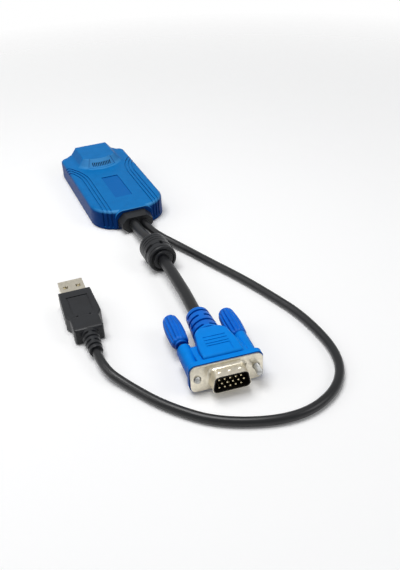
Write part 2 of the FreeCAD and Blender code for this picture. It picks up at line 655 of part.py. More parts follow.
# ---------------------------------------------------------------- inside the box
# Pieces on the board: name, the end of the box they are placed from, distance of their
# middle from that end, middle from the middle plane, length, width, height.
ON_BOARD = [
    ("network_transformer", "far", 23.5, 0.0, 9.6, 12.8, 5.6),
    ("processor_chip", "far", 39.5, 6.0, 14.0, 14.0, 1.4),
    ("video_converter_chip", "near", 31.5, -8.5, 14.0, 14.0, 1.4),
    ("memory_chip", "far", 35.5, -9.0, 10.0, 6.0, 1.2),
    ("flash_chip", "far", 27.0, -12.5, 5.2, 5.2, 1.8),
    ("crystal_can", "far", 54.5, 14.0, 11.2, 4.6, 3.6),
    ("voltage_regulator", "near", 26.0, 8.0, 3.5, 6.5, 1.7),
    ("video_header", "near", 16.0, -5.2, 4.5, 12.0, 5.4),
    ("usb_header", "near", 16.0, 6.2, 4.5, 8.0, 5.4),
]
# Capacitor cans: distance from the socket end, distance from the middle plane.
CAPACITORS = [(10.5, 12.5), (10.5, -12.5), (28.5, 12.5)]


def size_board_pieces():
    """Adds the sizes of the pieces on the board to the sheet."""
    extra = []
    for name, end, *numbers in ON_BOARD:
        for kind, number in zip(("inset", "y", "length", "width", "height"), numbers):
            extra.append((f"{name}_{kind}", number, f"{name} {kind}"))
    for letter, (inset, y) in zip("abc", CAPACITORS):
        extra += [(f"capacitor_{letter}_inset", inset, "can"), (f"capacitor_{letter}_y", y, "can")]
    for row, (alias, number, note) in enumerate(extra, start=len(SIZES) + 1):
        sizes.set(f"A{row}", note)
        sizes.set(f"B{row}", str(number))
        sizes.setAlias(f"B{row}", alias)
        ALIASES.add(alias)
    doc.recompute()


def middle_x(name, end):
    """Middle of a piece on the board, from its end of the box."""
    return f"({FAR_WALL} + {name}_inset)" if end == "far" else f"({NEAR_WALL} - {name}_inset)"


def make_board():
    """The circuit board, clamped between the posts."""
    body = new_body("circuit_board")
    plan = add_sketch(body, "plan", "XY_Plane", offset="board_bottom", outlines=[
        rounded_outline(BOARD_FAR, f"-{BOARD_HALF}", BOARD_NEAR, BOARD_HALF, "board_corner", "board_corner")],
        circles=[(x, y, "screw_radius + fit_gap") for x, y in screw_places()])
    pad(body, "board", plan, "board_thickness")


def make_board_pieces():
    """Blocks and cans on the board, and the wires from its headers to the leads."""
    for name, end, *numbers in ON_BOARD:
        corner = at(f"{middle_x(name, end)} - {name}_length / 2", f"{name}_y - {name}_width / 2", BOARD_TOP)
        item = part_object("Box", name, corner,
                           Length=f"{name}_length", Width=f"{name}_width", Height=f"{name}_height")
        item.Label = name
    body = new_body("capacitors")
    body.AllowCompound = True
    plan = add_sketch(body, "plan", "XY_Plane", offset=BOARD_TOP, circles=[
        (middle_x(f"capacitor_{letter}", "far"), f"capacitor_{letter}_y", "capacitor_radius")
        for letter in "abc"])
    pad(body, "cans", plan, "capacitor_height")
    for lead, count in (("video", 5), ("usb", 4)):
        start = f"({NEAR_WALL} - {lead}_header_inset + {lead}_header_length / 2)"
        body = new_body(f"{lead}_leads")
        body.AllowCompound = True
        wires = [(f"{lead}_header_y + ({number} - {(count - 1) / 2}) * {lead}_wire_pitch",
                  f"{BOARD_TOP} + {lead}_header_height / 2", f"{lead}_wire") for number in range(count)]
        plan = add_sketch(body, "plan", "YZ_Plane", offset=start, circles=wires)
        pad(body, "wires", plan, f"{FLANGE_BACK} - {start}")


def make_jack():
    """Network socket: a block with a stepped mouth that opens at the end wall."""
    body = new_body("network_jack_body")
    front = f"({FAR_WALL} + 2 * fit_gap)"
    half = "(jack_width / 2)"
    outer = add_sketch(body, "outer", "YZ_Plane", offset=front, outlines=[
        box_outline(f"-{half}", BOARD_TOP, half, f"{BOARD_TOP} + jack_height")])
    pad(body, "block", outer, "jack_depth")
    mouth, latch = "(jack_mouth_width / 2)", "(latch_width / 2)"
    opening = add_sketch(body, "mouth_outline", "YZ_Plane", offset=front, outlines=[
        [(f"-{mouth}", MOUTH_FLOOR), (f"-{latch}", MOUTH_FLOOR), (f"-{latch}", f"{MOUTH_FLOOR} - latch_depth"),
         (latch, f"{MOUTH_FLOOR} - latch_depth"), (latch, MOUTH_FLOOR), (mouth, MOUTH_FLOOR),
         (mouth, f"{MOUTH_FLOOR} + jack_mouth_height"), (f"-{mouth}", f"{MOUTH_FLOOR} + jack_mouth_height")]])
    pocket(body, "mouth", opening, "jack_mouth_depth", forward=True)
    body = new_body("network_jack_contacts")
    body.AllowCompound = True
    roof, back = f"({MOUTH_FLOOR} + jack_mouth_height)", f"({front} + jack_mouth_depth)"
    thick = "(contact_pitch / 3)"
    profile = add_sketch(body, "profile", "XZ_Plane", offset="-3.5 * contact_pitch - contact_pitch / 4", outlines=[
        [(f"{front} + jack_mouth_depth / 4", f"{roof} - {thick}"), (back, f"{roof} - jack_mouth_height / 2"),
         (back, f"{roof} - jack_mouth_height / 2 + {thick}"), (f"{front} + jack_mouth_depth / 4 + {thick}", roof),
         (f"{front} + jack_mouth_depth / 4", roof)]])
    first = pad(body, "contact", profile, "contact_pitch / 2")
    pattern(body, "LinearPattern", "contacts", first, Direction=(origin_feature(body, "Y_Axis"), [""]),
            Length="7 * contact_pitch", Occurrences=8, Reversed=True)


# ---------------------------------------------------------------- grommet and leads
def make_grommet():
    """Collar inside the end wall, neck through it and a bevelled block outside."""
    body = new_body("cable_grommet")
    collar = add_sketch(body, "collar_plan", "YZ_Plane", offset=FLANGE_BACK, outlines=[
        box_outline("-grommet_half_width - flange_step", "base_thickness + fit_gap",
                    "grommet_half_width + flange_step", f"{CEILING} - fit_gap")])
    pad(body, "collar", collar, "flange_thickness")
    neck = add_sketch(body, "neck_plan", "YZ_Plane", offset=f"{FLANGE_BACK} + flange_thickness",
                      outlines=[lead_arch("0", "base_thickness + fit_gap")])
    pad(body, "neck", neck, "flange_setback + shell_wall + rim_proud + 2 * fit_gap")
    root = add_sketch(body, "root_plan", "YZ_Plane", offset="housing_length / 2 + fit_gap", outlines=[
        bevelled_outline("grommet_half_width", "grommet_bottom", "grommet_top", "grommet_corner")])
    tip = add_sketch(body, "tip_plan", "YZ_Plane", offset="housing_length / 2 + grommet_length", outlines=[
        bevelled_outline("(grommet_half_width - grommet_taper)", "(grommet_bottom + grommet_taper / 4)",
                         "(grommet_top - grommet_taper)", "(grommet_corner - grommet_taper / 2)")])
    block = body.newObject("PartDesign::AdditiveLoft", "cable_grommet_block")
    block.Profile = root
    block.Sections = [tip]
    block.Ruled = True
    doc.recompute()


# Route of each lead, from the grommet's face to the back of its plug (the sheet's
# entries, so that a lead follows when its radius or its plug's place changes).
VIDEO_ROUTE = [
    ("housing_length / 2 + grommet_length", "-2.1", "5.3"),
    ("61.0", "-2.1", "5.3"), ("77.0", "ferrite_y", "ferrite_radius"),
    ("106.5", "ferrite_y", "ferrite_radius"), ("130.0", "-2.9", "hood_half_height"),
    ("video_plug_x - cos(video_plug_yaw * 1deg) * (relief_back + 17)",
     "video_plug_y - sin(video_plug_yaw * 1deg) * (relief_back + 17)", "hood_half_height"),
    ("video_plug_x - cos(video_plug_yaw * 1deg) * relief_back",
     "video_plug_y - sin(video_plug_yaw * 1deg) * relief_back", "hood_half_height"),
]
GRIP_BACK = "(grip_length + grip_relief_length)"
USB_LOW = "usb_cable_radius + 0.05"
USB_ROUTE = [
    ("housing_length / 2 + grommet_length", "3.8", "5.0"), ("63.3", "3.8", "5.0"),
    ("83.0", "14.8", USB_LOW), ("102.6", "21.8", USB_LOW),
    ("124.8", "30.3", USB_LOW), ("143.2", "35.9", USB_LOW), ("166.2", "42.0", USB_LOW),
    ("196.8", "41.9", USB_LOW), ("214.8", "30.0", USB_LOW), ("222.4", "8.0", USB_LOW),
    ("212.5", "-19.6", USB_LOW), ("195.3", "-35.5", USB_LOW), ("177.0", "-45.6", USB_LOW),
    (f"usb_plug_x + cos(usb_plug_yaw * 1deg) * ({GRIP_BACK} + 12)",
     f"usb_plug_y + sin(usb_plug_yaw * 1deg) * ({GRIP_BACK} + 12)", "grip_half_height"),
    (f"usb_plug_x + cos(usb_plug_yaw * 1deg) * {GRIP_BACK}",
     f"usb_plug_y + sin(usb_plug_yaw * 1deg) * {GRIP_BACK}", "grip_half_height"),
]


def make_lead(name, route, radius):
    """A round cable along straight runs, with a tangent arc at each turn."""
    points = [FreeCAD.Vector(*(value(text) for text in spot)) for spot in route]
    edges = []
    here = points[0]
    for before, corner, after in zip(points, points[1:], points[2:]):
        back, ahead = before - corner, after - corner
        reach = 0.45 * min(back.Length, ahead.Length)
        half_turn = (math.pi - back.getAngle(ahead)) / 2
        start, finish = corner + back.normalize() * reach, corner + ahead.normalize() * reach
        bend = reach / math.tan(half_turn)
        middle_way = (back + ahead).normalize()
        middle = corner + middle_way * (math.hypot(reach, bend) - bend)
        edges += [Part.LineSegment(here, start).toShape(), Part.Arc(start, middle, finish).toShape()]
        here = finish
        print(f"{name}: bend radius {bend:.1f}")
    edges.append(Part.LineSegment(here, points[-1]).toShape())
    path = Part.Wire(edges)
    ring = Part.makeCircle(value(radius), points[0], points[1] - points[0])
    tube = path.makePipeShell([Part.Wire([ring])], True, True)
    expected = math.pi * value(radius) ** 2 * path.Length
    print(f"{name}: length {path.Length:.1f}, volume over section x length {tube.Volume / expected:.4f}")
    item = doc.addObject("Part::Feature", name)
    item.Label = name
    item.Shape = tube


def make_ferrite():
    """Overmoulded sleeve on the video lead, with a ferrite ring inside."""
    body = new_body("ferrite_sleeve", FERRITE)
    length, outer = "ferrite_length", "ferrite_radius"
    core = "(core_radius + fit_gap / 2)"
    start, finish = "((ferrite_length - core_length) / 2)", "((ferrite_length + core_length) / 2)"
    profile = add_sketch(body, "profile", "XZ_Plane", outlines=[
        [("0", "ferrite_bore"), ("0", "collar_radius"), ("0.7", "collar_radius"), ("0.7", f"{outer} - 0.9"),
         ("1.5", outer), (f"{length} - 1.9", outer), (f"{length} - 1.1", f"{outer} - 0.5"),
         (f"{length} - 0.9", "collar_radius"), (length, "collar_radius"), (length, "ferrite_bore"),
         (finish, "ferrite_bore"), (finish, core), (start, core), (start, "ferrite_bore")]])
    revolve(body, "sleeve", profile)
    rings = [("3.4", "0.35"), ("6.0", "0.35"), ("8.6", "0.35"), ("12.6", "0.5")]
    grooves = add_sketch(body, "rings", "XZ_Plane", outlines=[
        box_outline(x, f"{outer} - 0.3", f"{x} + {width}", f"{outer} + 1") for x, width in rings])
    cut(body, "Groove", "ring_grooves", grooves, ReferenceAxis=(grooves, ["H_Axis"]), Angle=360)
    body = new_body("ferrite_core", FERRITE)
    profile = add_sketch(body, "profile", "XZ_Plane", outlines=[
        box_outline(f"{start} + fit_gap / 2", "ferrite_bore", f"{finish} - fit_gap / 2", "core_radius")])
    revolve(body, "ring", profile)


# ---------------------------------------------------------------- video plug
def make_video_hood():
    """Moulded hood: block, two screw tubes, rounded middle and ringed strain relief."""
    body = new_body("video_plug_hood", VIDEO_PLUG)
    face = "-plate_thickness"
    start = f"({face} - block_depth / 2)"
    middle = add_sketch(body, "bulb_plan", "XY_Plane", offset="-hood_half_height", outlines=[
        [(start, "-bulb_half_width"), (start, "bulb_half_width"),
         ("-bulb_back + bulb_corner", "bulb_half_width", "bulb_corner"),
         ("-bulb_back", "bulb_half_width - bulb_corner"),
         ("-bulb_back", "-bulb_half_width + bulb_corner", "bulb_corner"),
         ("-bulb_back + bulb_corner", "-bulb_half_width")]])
    pad(body, "bulb", middle, "2 * hood_half_height")
    high = value("hood_half_height")
    dress(body, "Fillet", "bulb_edges",
          lambda edge: lies_at(edge, "Z", high) or lies_at(edge, "Z", -high), "bulb_edge")
    block = add_sketch(body, "block_plan", "YZ_Plane", offset=face, outlines=[
        rounded_outline("-block_half_width", "-block_half_height", "block_half_width", "block_half_height",
                        "block_corner", "block_corner")])
    pad(body, "block", block, "block_depth", backward=True)
    tubes = add_sketch(body, "tube_plan", "YZ_Plane", offset=start, circles=[
        (f"{sign}hole_spread", "0", "boss_radius") for sign in ("", "-")])
    pad(body, "tubes", tubes, "boss_back - plate_thickness - block_depth / 2", backward=True)
    profile = [("-bulb_back + bulb_corner", "0"), ("-bulb_back + bulb_corner", "relief_base_radius"),
               ("-bulb_back - relief_groove", "relief_base_radius")]
    slope = "(relief_base_radius - relief_tip_radius) / (relief_back - bulb_back)"
    for number in range(4):
        x = f"(-bulb_back - relief_groove - {number} * relief_ring_pitch)"
        for step, deep in (("0", "relief_groove"), ("relief_groove", "relief_groove"), ("relief_groove", "0")):
            profile.append((f"{x} - {step}", f"relief_base_radius - ({step} - {x} - bulb_back) * {slope} - {deep}"))
    profile += [("-relief_back", "relief_tip_radius"), ("-relief_back", "0")]
    relief = add_sketch(body, "relief_plan", "XZ_Plane", outlines=[profile])
    revolve(body, "relief", relief)
    room = add_sketch(body, "room_plan", "YZ_Plane", offset=face, outlines=[
        box_outline("-can_half_width - fit_gap", "-can_half_height - fit_gap",
                    "can_half_width + fit_gap", "can_half_height + fit_gap")])
    pocket(body, "room", room, "insulator_back + pin_row")
    for name, radius, depth in (("tail", "neck_radius + running_gap", "boss_back"),
                                ("front", "thread_radius + running_gap", f"{BORE_STEP} - plate_thickness")):
        bores = add_sketch(body, f"{name}_bores", "YZ_Plane", offset=face, circles=[
            (f"{sign}hole_spread", "0", radius) for sign in ("", "-")])
        pocket(body, f"{name}_bore", bores, depth)
    lines = [("-16.2", "-5.2", "-15.6", "4.8"), ("-13.9", "-5.2", "-13.3", "4.8"),
             ("-11.7", "-5.2", "-11.1", "4.8")]
    marks = add_sketch(body, "line_plan", "XY_Plane", offset="hood_half_height", outlines=[
        box_outline(*line) for line in lines] + [
        [("-10.1", "-5.2"), ("-9.5", "-5.2"), ("-9.5", "4.2"), ("-5.2", "4.2"), ("-5.2", "4.8"), ("-10.1", "4.8")]])
    pocket(body, "lines", marks, "groove_depth / 2")


# The thread stops on this step of the hood's bores when its screw is drawn back.
BORE_STEP = "(thread_length - screw_proud + screw_float + running_gap)"


def d_outline(inset="0"):
    """The D-shaped outline, wide side down, drawn in all round by the inset; (y, z) corners."""
    lean = "shell_lean * 1deg"
    radius = f"(shell_corner - {inset})"
    side = f"{inset} / cos({lean})"
    low = f"(-shell_half_height + {inset})"
    high = f"(shell_half_height - {inset})"
    wide = f"(shell_half_width - {side} - {inset} * tan({lean}))"
    slim = f"(shell_half_width - {side} - (2 * shell_half_height - {inset}) * tan({lean}))"
    foot = f"({radius} / tan(45deg - {lean} / 2))"
    head = f"({radius} / tan(45deg + {lean} / 2))"
    right = [(f"{wide} - {foot}", low, radius),
             (f"{wide} - {foot} * sin({lean})", f"{low} + {foot} * cos({lean})"),
             (f"{slim} + {head} * sin({lean})", f"{high} - {head} * cos({lean})", radius),
             (f"{slim} - {head}", high)]
    left = [(f"-({slim} - {head})", high, radius),
            (f"-({slim} + {head} * sin({lean}))", f"{high} - {head} * cos({lean})"),
            (f"-({wide} - {foot} * sin({lean}))", f"{low} + {foot} * cos({lean})", radius),
            (f"-({wide} - {foot})", low)]
    return right + left


def make_video_metal():
    """Front plate with its D-shaped shell, and the can behind the plate."""
    body = new_body("video_plug_shell", VIDEO_PLUG)
    outer = add_sketch(body, "shell_plan", "YZ_Plane", offset="-plate_thickness", outlines=[d_outline()])
    pad(body, "shell", outer, "shell_proud + plate_thickness")
    plate = add_sketch(body, "plate_plan", "YZ_Plane", offset="-plate_thickness", outlines=[
        rounded_outline("-plate_half_width", "-plate_half_height", "plate_half_width", "plate_half_height",
                        "plate_corner", "plate_corner")],
        circles=[(f"{sign}hole_spread", "0", "hole_radius") for sign in ("", "-")])
    pad(body, "plate", plate, "plate_thickness")
    inner = add_sketch(body, "inner_plan", "YZ_Plane", offset="shell_proud", outlines=[d_outline("shell_metal")])
    pocket(body, "inner", inner, "shell_proud + plate_thickness")
    dimples = add_sketch(body, "dimple_plan", "XY_Plane", offset="shell_half_height", outlines=[
        box_outline("2.3", f"{place} * shell_half_height - 0.8", "3.7", f"{place} * shell_half_height + 0.8")
        for place in ("-1.1", "0", "1.1")])
    pocket(body, "dimples", dimples, "shell_metal / 2")
    body = new_body("video_plug_backshell", VIDEO_PLUG)
    can = add_sketch(body, "can_plan", "YZ_Plane", offset="-plate_thickness", outlines=[
        box_outline("-can_half_width", "-can_half_height", "can_half_width", "can_half_height"),
        d_outline("shell_metal")])
    pad(body, "can", can, "insulator_back - plate_thickness", backward=True)


def pin_places():
    """Fifteen places in three rows; the middle row is set off to the other side."""
    shift = "pin_pitch / 4"
    return [(f"{column} * pin_pitch {sign} {shift}", f"{row} * pin_row")
            for row, sign in ((1, "-"), (0, "+"), (-1, "-")) for column in range(-2, 3)]


def make_video_contacts():
    """Insulator and pins."""
    body = new_body("video_plug_insulator", VIDEO_PLUG)
    plan = add_sketch(body, "plan", "YZ_Plane", offset="-insulator_back",
                      outlines=[d_outline("(shell_metal + fit_gap / 2)")])
    pad(body, "block", plan, "insulator_back + insulator_front")
    holes = add_sketch(body, "hole_plan", "YZ_Plane", offset="insulator_front", circles=[
        (y, z, "pin_radius + fit_gap / 2") for y, z in pin_places()])
    pocket(body, "holes", holes, "insulator_back + insulator_front")
    body = new_body("video_plug_pins", VIDEO_PLUG)
    body.AllowCompound = True
    plan = add_sketch(body, "plan", "YZ_Plane", offset="-insulator_back - pin_radius", circles=[
        (y, z, "pin_radius") for y, z in pin_places()])
    pad(body, "pins", plan, "insulator_back + pin_radius + pin_proud")


# A sketch on the XZ plane is moved along -Y, so the sign of its side turns round.
OTHER = {"": "-", "-": ""}


def make_thumbscrew(side, sign, drawn):
    """One thumbscrew; drawn says how far it is pulled back from the hood."""
    face = f"(-boss_back - running_gap - {drawn})"
    beside = f"{sign}hole_spread"
    tip = f"(screw_proud - {drawn})"
    body = new_body(f"thumbscrew_{side}_knob", VIDEO_PLUG)
    span = "knob_length"
    profile = add_sketch(body, "profile", "XZ_Plane", offset=beside, outlines=[
        [(face, "neck_radius + fit_gap / 2"), (face, "knob_end_radius - 0.2"),
         (f"{face} - 0.5", "knob_end_radius"), (f"{face} - 0.9", "knob_end_radius"),
         (f"{face} - 2.0", "knob_radius - 0.5"), (f"{face} - {span} / 2", "knob_radius"),
         (f"{face} - {span} + 3.6", "knob_radius - 0.35"), (f"{face} - {span} + 0.5", "knob_end_radius + 0.2"),
         (f"{face} - {span}", "knob_end_radius - 0.3"), (f"{face} - {span}", "0"),
         (f"{face} - knob_socket", "0"), (f"{face} - knob_socket", "neck_radius + fit_gap / 2")]])
    revolve(body, "knob", profile)
    flute = add_sketch(body, "flute_plan", "YZ_Plane", offset=f"{face} - 0.9", circles=[
        (f"{OTHER[sign]}hole_spread", "knob_radius + flute_radius / 3", "flute_radius")])
    first = pocket(body, "flute", flute, f"{span} - 1.8")
    pattern(body, "PolarPattern", "flutes", first, Axis=(profile, ["H_Axis"]), Angle=360,
            Occurrences=int(value("flute_count")))
    body = new_body(f"thumbscrew_{side}_screw", VIDEO_PLUG)
    profile = add_sketch(body, "profile", "XZ_Plane", offset=beside, outlines=[
        [(tip, "0"), (tip, "thread_radius - 0.5"), (f"{tip} - 0.6", "thread_radius"),
         (f"{tip} - thread_length", "thread_radius"), (f"{tip} - thread_length", "neck_radius"),
         (f"{face} - knob_socket", "neck_radius"), (f"{face} - knob_socket", "0")]])
    revolve(body, "screw", profile)


# ---------------------------------------------------------------- USB plug
def make_usb_grip():
    """Moulded grip with finger scallops, grooves and a ringed strain relief."""
    body = new_body("usb_plug_grip", USB_PLUG)
    front, wide, waist = "grip_front_half_width", "grip_half_width", "grip_waist_half_width"
    rear = "(grip_waist_half_width + 1.0)"
    turns = [f"(grip_length - {spot})" for spot in ("grip_wide_back", "grip_waist_start", "grip_waist_end")]
    half = [("0", front), (turns[0], wide), (turns[1], waist),
            (turns[2], waist), (f"{turns[2]} + 1.2", rear), ("grip_length", rear)]
    plan = [(x, f"-({y})") for x, y in half] + [(x, y) for x, y in reversed(half)]
    outline = add_sketch(body, "plan", "XY_Plane", offset="-grip_half_height", outlines=[plan])
    pad(body, "block", outline, "2 * grip_half_height")
    spots_x = [value(turn) for turn in turns]
    dress(body, "Fillet", "scallops", lambda edge: edge.BoundBox.ZLength > 1
          and min(abs(edge.CenterOfMass.x - x) for x in spots_x) < 0.01, "grip_scallop")
    high = value("grip_half_height")
    dress(body, "Fillet", "edges", lambda edge: lies_at(edge, "Z", high) or lies_at(edge, "Z", -high), "grip_edge")
    drop = "(grip_relief_base - grip_relief_tip) / grip_relief_length"
    profile = [("grip_length - 1", "0"), ("grip_length - 1", "grip_relief_base"),
               ("grip_length + 1.6", "grip_relief_base")]
    for number in range(4):
        x = f"(1.6 + {number} * 2.7)"
        for step, deep in (("0", "0.8"), ("1.1", "0.8"), ("1.1", "0")):
            profile.append((f"grip_length + {x} + {step}", f"grip_relief_base - ({x} + {step}) * {drop} - {deep}"))
    profile += [(GRIP_BACK, "grip_relief_tip"), (GRIP_BACK, "0")]
    relief = add_sketch(body, "relief_plan", "XZ_Plane", outlines=[profile])
    revolve(body, "relief", relief)
    groove = "grip_groove"
    marks = add_sketch(body, "mark_plan", "XY_Plane", offset="grip_half_height", outlines=[
        [("5.6", "-5.1"), ("19.8", "-5.1"), ("19.8", f"-5.1 + {groove}"), (f"5.6 + {groove}", f"-5.1 + {groove}"),
         (f"5.6 + {groove}", f"5.1 - {groove}"), ("19.8", f"5.1 - {groove}"), ("19.8", "5.1"), ("5.6", "5.1")]],
        circles=[("22.3", f"{sign}2.95", "0.5") for sign in ("", "-")])
    pocket(body, "marks", marks, "grip_groove_depth")
    slot = add_sketch(body, "slot_plan", "YZ_Plane", outlines=[
        box_outline("-usb_shell_half_width - fit_gap / 2", "-usb_shell_half_height - fit_gap / 2",
                    "usb_shell_half_width + fit_gap / 2", "usb_shell_half_height + fit_gap / 2")])
    pocket(body, "slot", slot, "usb_shell_buried", forward=True)


def make_usb_metal():
    """Metal shell, the insulating tongue inside it and the four contacts."""
    body = new_body("usb_plug_shell", USB_PLUG)
    wide, high, metal = "usb_shell_half_width", "usb_shell_half_height", "usb_shell_metal"
    plan = add_sketch(body, "plan", "YZ_Plane", offset="-usb_shell_proud", outlines=[
        box_outline(f"-{wide}", f"-{high}", wide, high),
        box_outline(f"-{wide} + {metal}", f"-{high} + {metal}", f"{wide} - {metal}", f"{high} - {metal}")])
    pad(body, "shell", plan, "usb_shell_proud + usb_shell_buried")
    half = "usb_window / 2"
    windows = add_sketch(body, "window_plan", "XY_Plane", offset=high, outlines=[
        box_outline(f"-usb_shell_proud + usb_window_x - {half}", f"{sign}usb_window_spread - {half}",
                    f"-usb_shell_proud + usb_window_x + {half}", f"{sign}usb_window_spread + {half}")
        for sign in ("", "-")])
    pocket(body, "windows", windows, f"2 * {high}")
    body = new_body("usb_plug_tongue", USB_PLUG)
    floor = f"(-{high} + {metal})"
    side = f"({wide} - {metal} - fit_gap / 2)"
    tongue = add_sketch(body, "plan", "YZ_Plane", offset="-usb_shell_proud + tongue_setback", outlines=[
        box_outline(f"-{side}", floor, side, f"{floor} + tongue_thickness")])
    pad(body, "tongue", tongue, "usb_shell_proud + usb_shell_buried - tongue_setback")
    body = new_body("usb_plug_contacts", USB_PLUG)
    body.AllowCompound = True
    strips = add_sketch(body, "plan", "YZ_Plane", offset="-usb_shell_proud + 2 * tongue_setback", outlines=[
        box_outline(f"{y} - 0.5", f"{floor} + tongue_thickness", f"{y} + 0.5",
                    f"{floor} + tongue_thickness + usb_contact_height") for y in ("-3.5", "-1.0", "1.0", "3.5")])
    pad(body, "strips", strips, "usb_shell_proud")


# ---------------------------------------------------------------- build and write
size_board_pieces()
make_upper_shell()
make_lower_shell()
make_housing_screws()
make_board()
make_board_pieces()
make_jack()
make_grommet()
make_lead("video_cable", VIDEO_ROUTE, "video_cable_radius")
make_lead("usb_cable", USB_ROUTE, "usb_cable_radius")
make_ferrite()
make_video_hood()
make_video_metal()
make_video_contacts()
make_thumbscrew("right", "-", "0")
make_thumbscrew("left", "", "screw_float")
make_usb_grip()
make_usb_metal()
doc.recompute()

NODES = ["upper_shell", "lower_shell", "housing_screws", "circuit_board", "capacitors", "network_jack_body",
         "network_jack_contacts", "video_leads", "usb_leads", "cable_grommet", "video_cable", "usb_cable",
         "ferrite_sleeve", "ferrite_core", "video_plug_hood", "video_plug_shell", "video_plug_backshell",
         "video_plug_insulator", "video_plug_pins", "thumbscrew_right_knob", "thumbscrew_right_screw",
         "thumbscrew_left_knob", "thumbscrew_left_screw", "usb_plug_grip", "usb_plug_shell",
         "usb_plug_tongue", "usb_plug_contacts"] + [piece[0] for piece in ON_BOARD]
for item in doc.Objects:
    if "Invalid" in item.State or "Error" in item.State:
        raise RuntimeError(f"{item.Name}: {item.State}")
os.makedirs("parts", exist_ok=True)
for name in NODES:
    item = doc.getObject(name)
    shape = item.Shape
    if shape.isNull() or not shape.isValid() or not shape.Solids:
        raise RuntimeError(f"{name} has no valid shape")
    shape.exportStep(f"parts/{item.Label}.step")
    box = shape.BoundBox
    print(f"{name:24s} solids {len(shape.Solids):2d}  x {box.XMin:7.2f} {box.XMax:7.2f}  "
          f"y {box.YMin:7.2f} {box.YMax:7.2f}  z {box.ZMin:6.2f} {box.ZMax:6.2f}  volume {shape.Volume:9.1f}")
print(f"{len(NODES)} nodes")
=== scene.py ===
# %% [markdown]
# # A small video and USB console dongle
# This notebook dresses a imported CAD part: a blue moulded box, a thick lead to a
# video plug, and a thin lead to a USB plug.  The CAD part is loaded first and never
# moved.  Every piece made here takes its place from the part's own boxes and sizes.

# %% Load the part
import bmesh
import bpy
import json
import math
import numpy as np
from mathutils import Matrix, Vector

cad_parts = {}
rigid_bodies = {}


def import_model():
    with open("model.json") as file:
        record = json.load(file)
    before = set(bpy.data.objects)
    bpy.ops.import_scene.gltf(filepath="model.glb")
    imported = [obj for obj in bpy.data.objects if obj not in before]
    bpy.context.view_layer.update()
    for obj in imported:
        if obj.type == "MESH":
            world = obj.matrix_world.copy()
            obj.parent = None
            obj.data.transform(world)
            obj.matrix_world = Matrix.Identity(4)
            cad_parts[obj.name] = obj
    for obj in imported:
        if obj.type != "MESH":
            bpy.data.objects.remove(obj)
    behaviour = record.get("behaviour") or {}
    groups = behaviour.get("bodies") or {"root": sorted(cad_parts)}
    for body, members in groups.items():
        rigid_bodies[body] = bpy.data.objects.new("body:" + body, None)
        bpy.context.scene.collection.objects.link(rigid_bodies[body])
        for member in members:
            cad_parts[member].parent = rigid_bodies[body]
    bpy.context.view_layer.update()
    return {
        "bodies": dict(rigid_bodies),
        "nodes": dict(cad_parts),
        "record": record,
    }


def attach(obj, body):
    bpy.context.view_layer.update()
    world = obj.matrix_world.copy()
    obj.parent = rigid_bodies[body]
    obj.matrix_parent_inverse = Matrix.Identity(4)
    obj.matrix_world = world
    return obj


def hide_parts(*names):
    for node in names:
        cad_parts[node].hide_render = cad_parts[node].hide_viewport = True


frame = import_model()
nodes, bodies = frame["nodes"], frame["bodies"]
MM = 0.001
print("nodes:", len(nodes), "bodies:", sorted(bodies))

# %% [markdown]
# ## Camera
# The dongle lies on a table and is seen from the lead end, from the left and above.
# A camera in Blender looks along its own -Z, so its matrix has three columns:
# right, up and backwards.  A heading, a tilt and a small roll give them.

# %% Camera
camera_place = np.array([385.6, -92.3, 190.6]) * MM
heading, tilt, roll = (math.radians(angle) for angle in (159.03, -33.65, -3.02))
ahead = np.array([math.cos(tilt) * math.cos(heading), math.cos(tilt) * math.sin(heading),
                  math.sin(tilt)])
level_right = np.cross(ahead, (0, 0, 1))
level_right /= np.linalg.norm(level_right)
level_up = np.cross(level_right, ahead)
right = math.cos(roll) * level_right + math.sin(roll) * level_up
up = math.cos(roll) * level_up - math.sin(roll) * level_right
columns = np.eye(4)
columns[:3] = np.column_stack([right, up, -ahead, camera_place])
camera_data = bpy.data.cameras.new("camera")
camera_data.sensor_width = 36.0
camera_data.lens = 43.43
camera = bpy.data.objects.new("camera", camera_data)
camera.matrix_world = Matrix(columns.tolist())
bpy.context.scene.collection.objects.link(camera)
bpy.context.scene.camera = camera
print("camera at", camera_place.round(3))

# %% [markdown]
# ## Leads
# A cable is one smooth curve: a NURBS spline of order 3 whose control points are the
# corners of the route that the part's own tubes follow.  `use_endpoint_u` makes it
# reach its first and last points, where it meets the grommet and the plug.

# %% Routes of the two leads, in millimetres
VIDEO_LEAD = 5.9
USB_LEAD = 4.0
video_route = [(51.8, -2.1, 5.3), (61.0, -2.1, 5.3), (77.0, -1.85, 7.7), (106.5, -1.85, 7.7),
               (130.0, -2.9, 7.6), (135.25, -3.29, 7.6), (152.17, -4.86, 7.6)]
usb_route = [(51.8, 3.8, 5.0), (63.3, 3.8, 5.0), (83.0, 14.8, 2.05), (102.6, 21.8, 2.05),
             (124.8, 30.3, 2.05), (143.2, 35.9, 2.05), (166.2, 42.0, 2.05), (196.8, 41.9, 2.05),
             (214.8, 30.0, 2.05), (222.4, 8.0, 2.05), (212.5, -19.6, 2.05), (195.3, -35.5, 2.05),
             (177.0, -45.6, 2.05), (163.85, -52.61, 4.1), (151.86, -52.13, 4.1)]


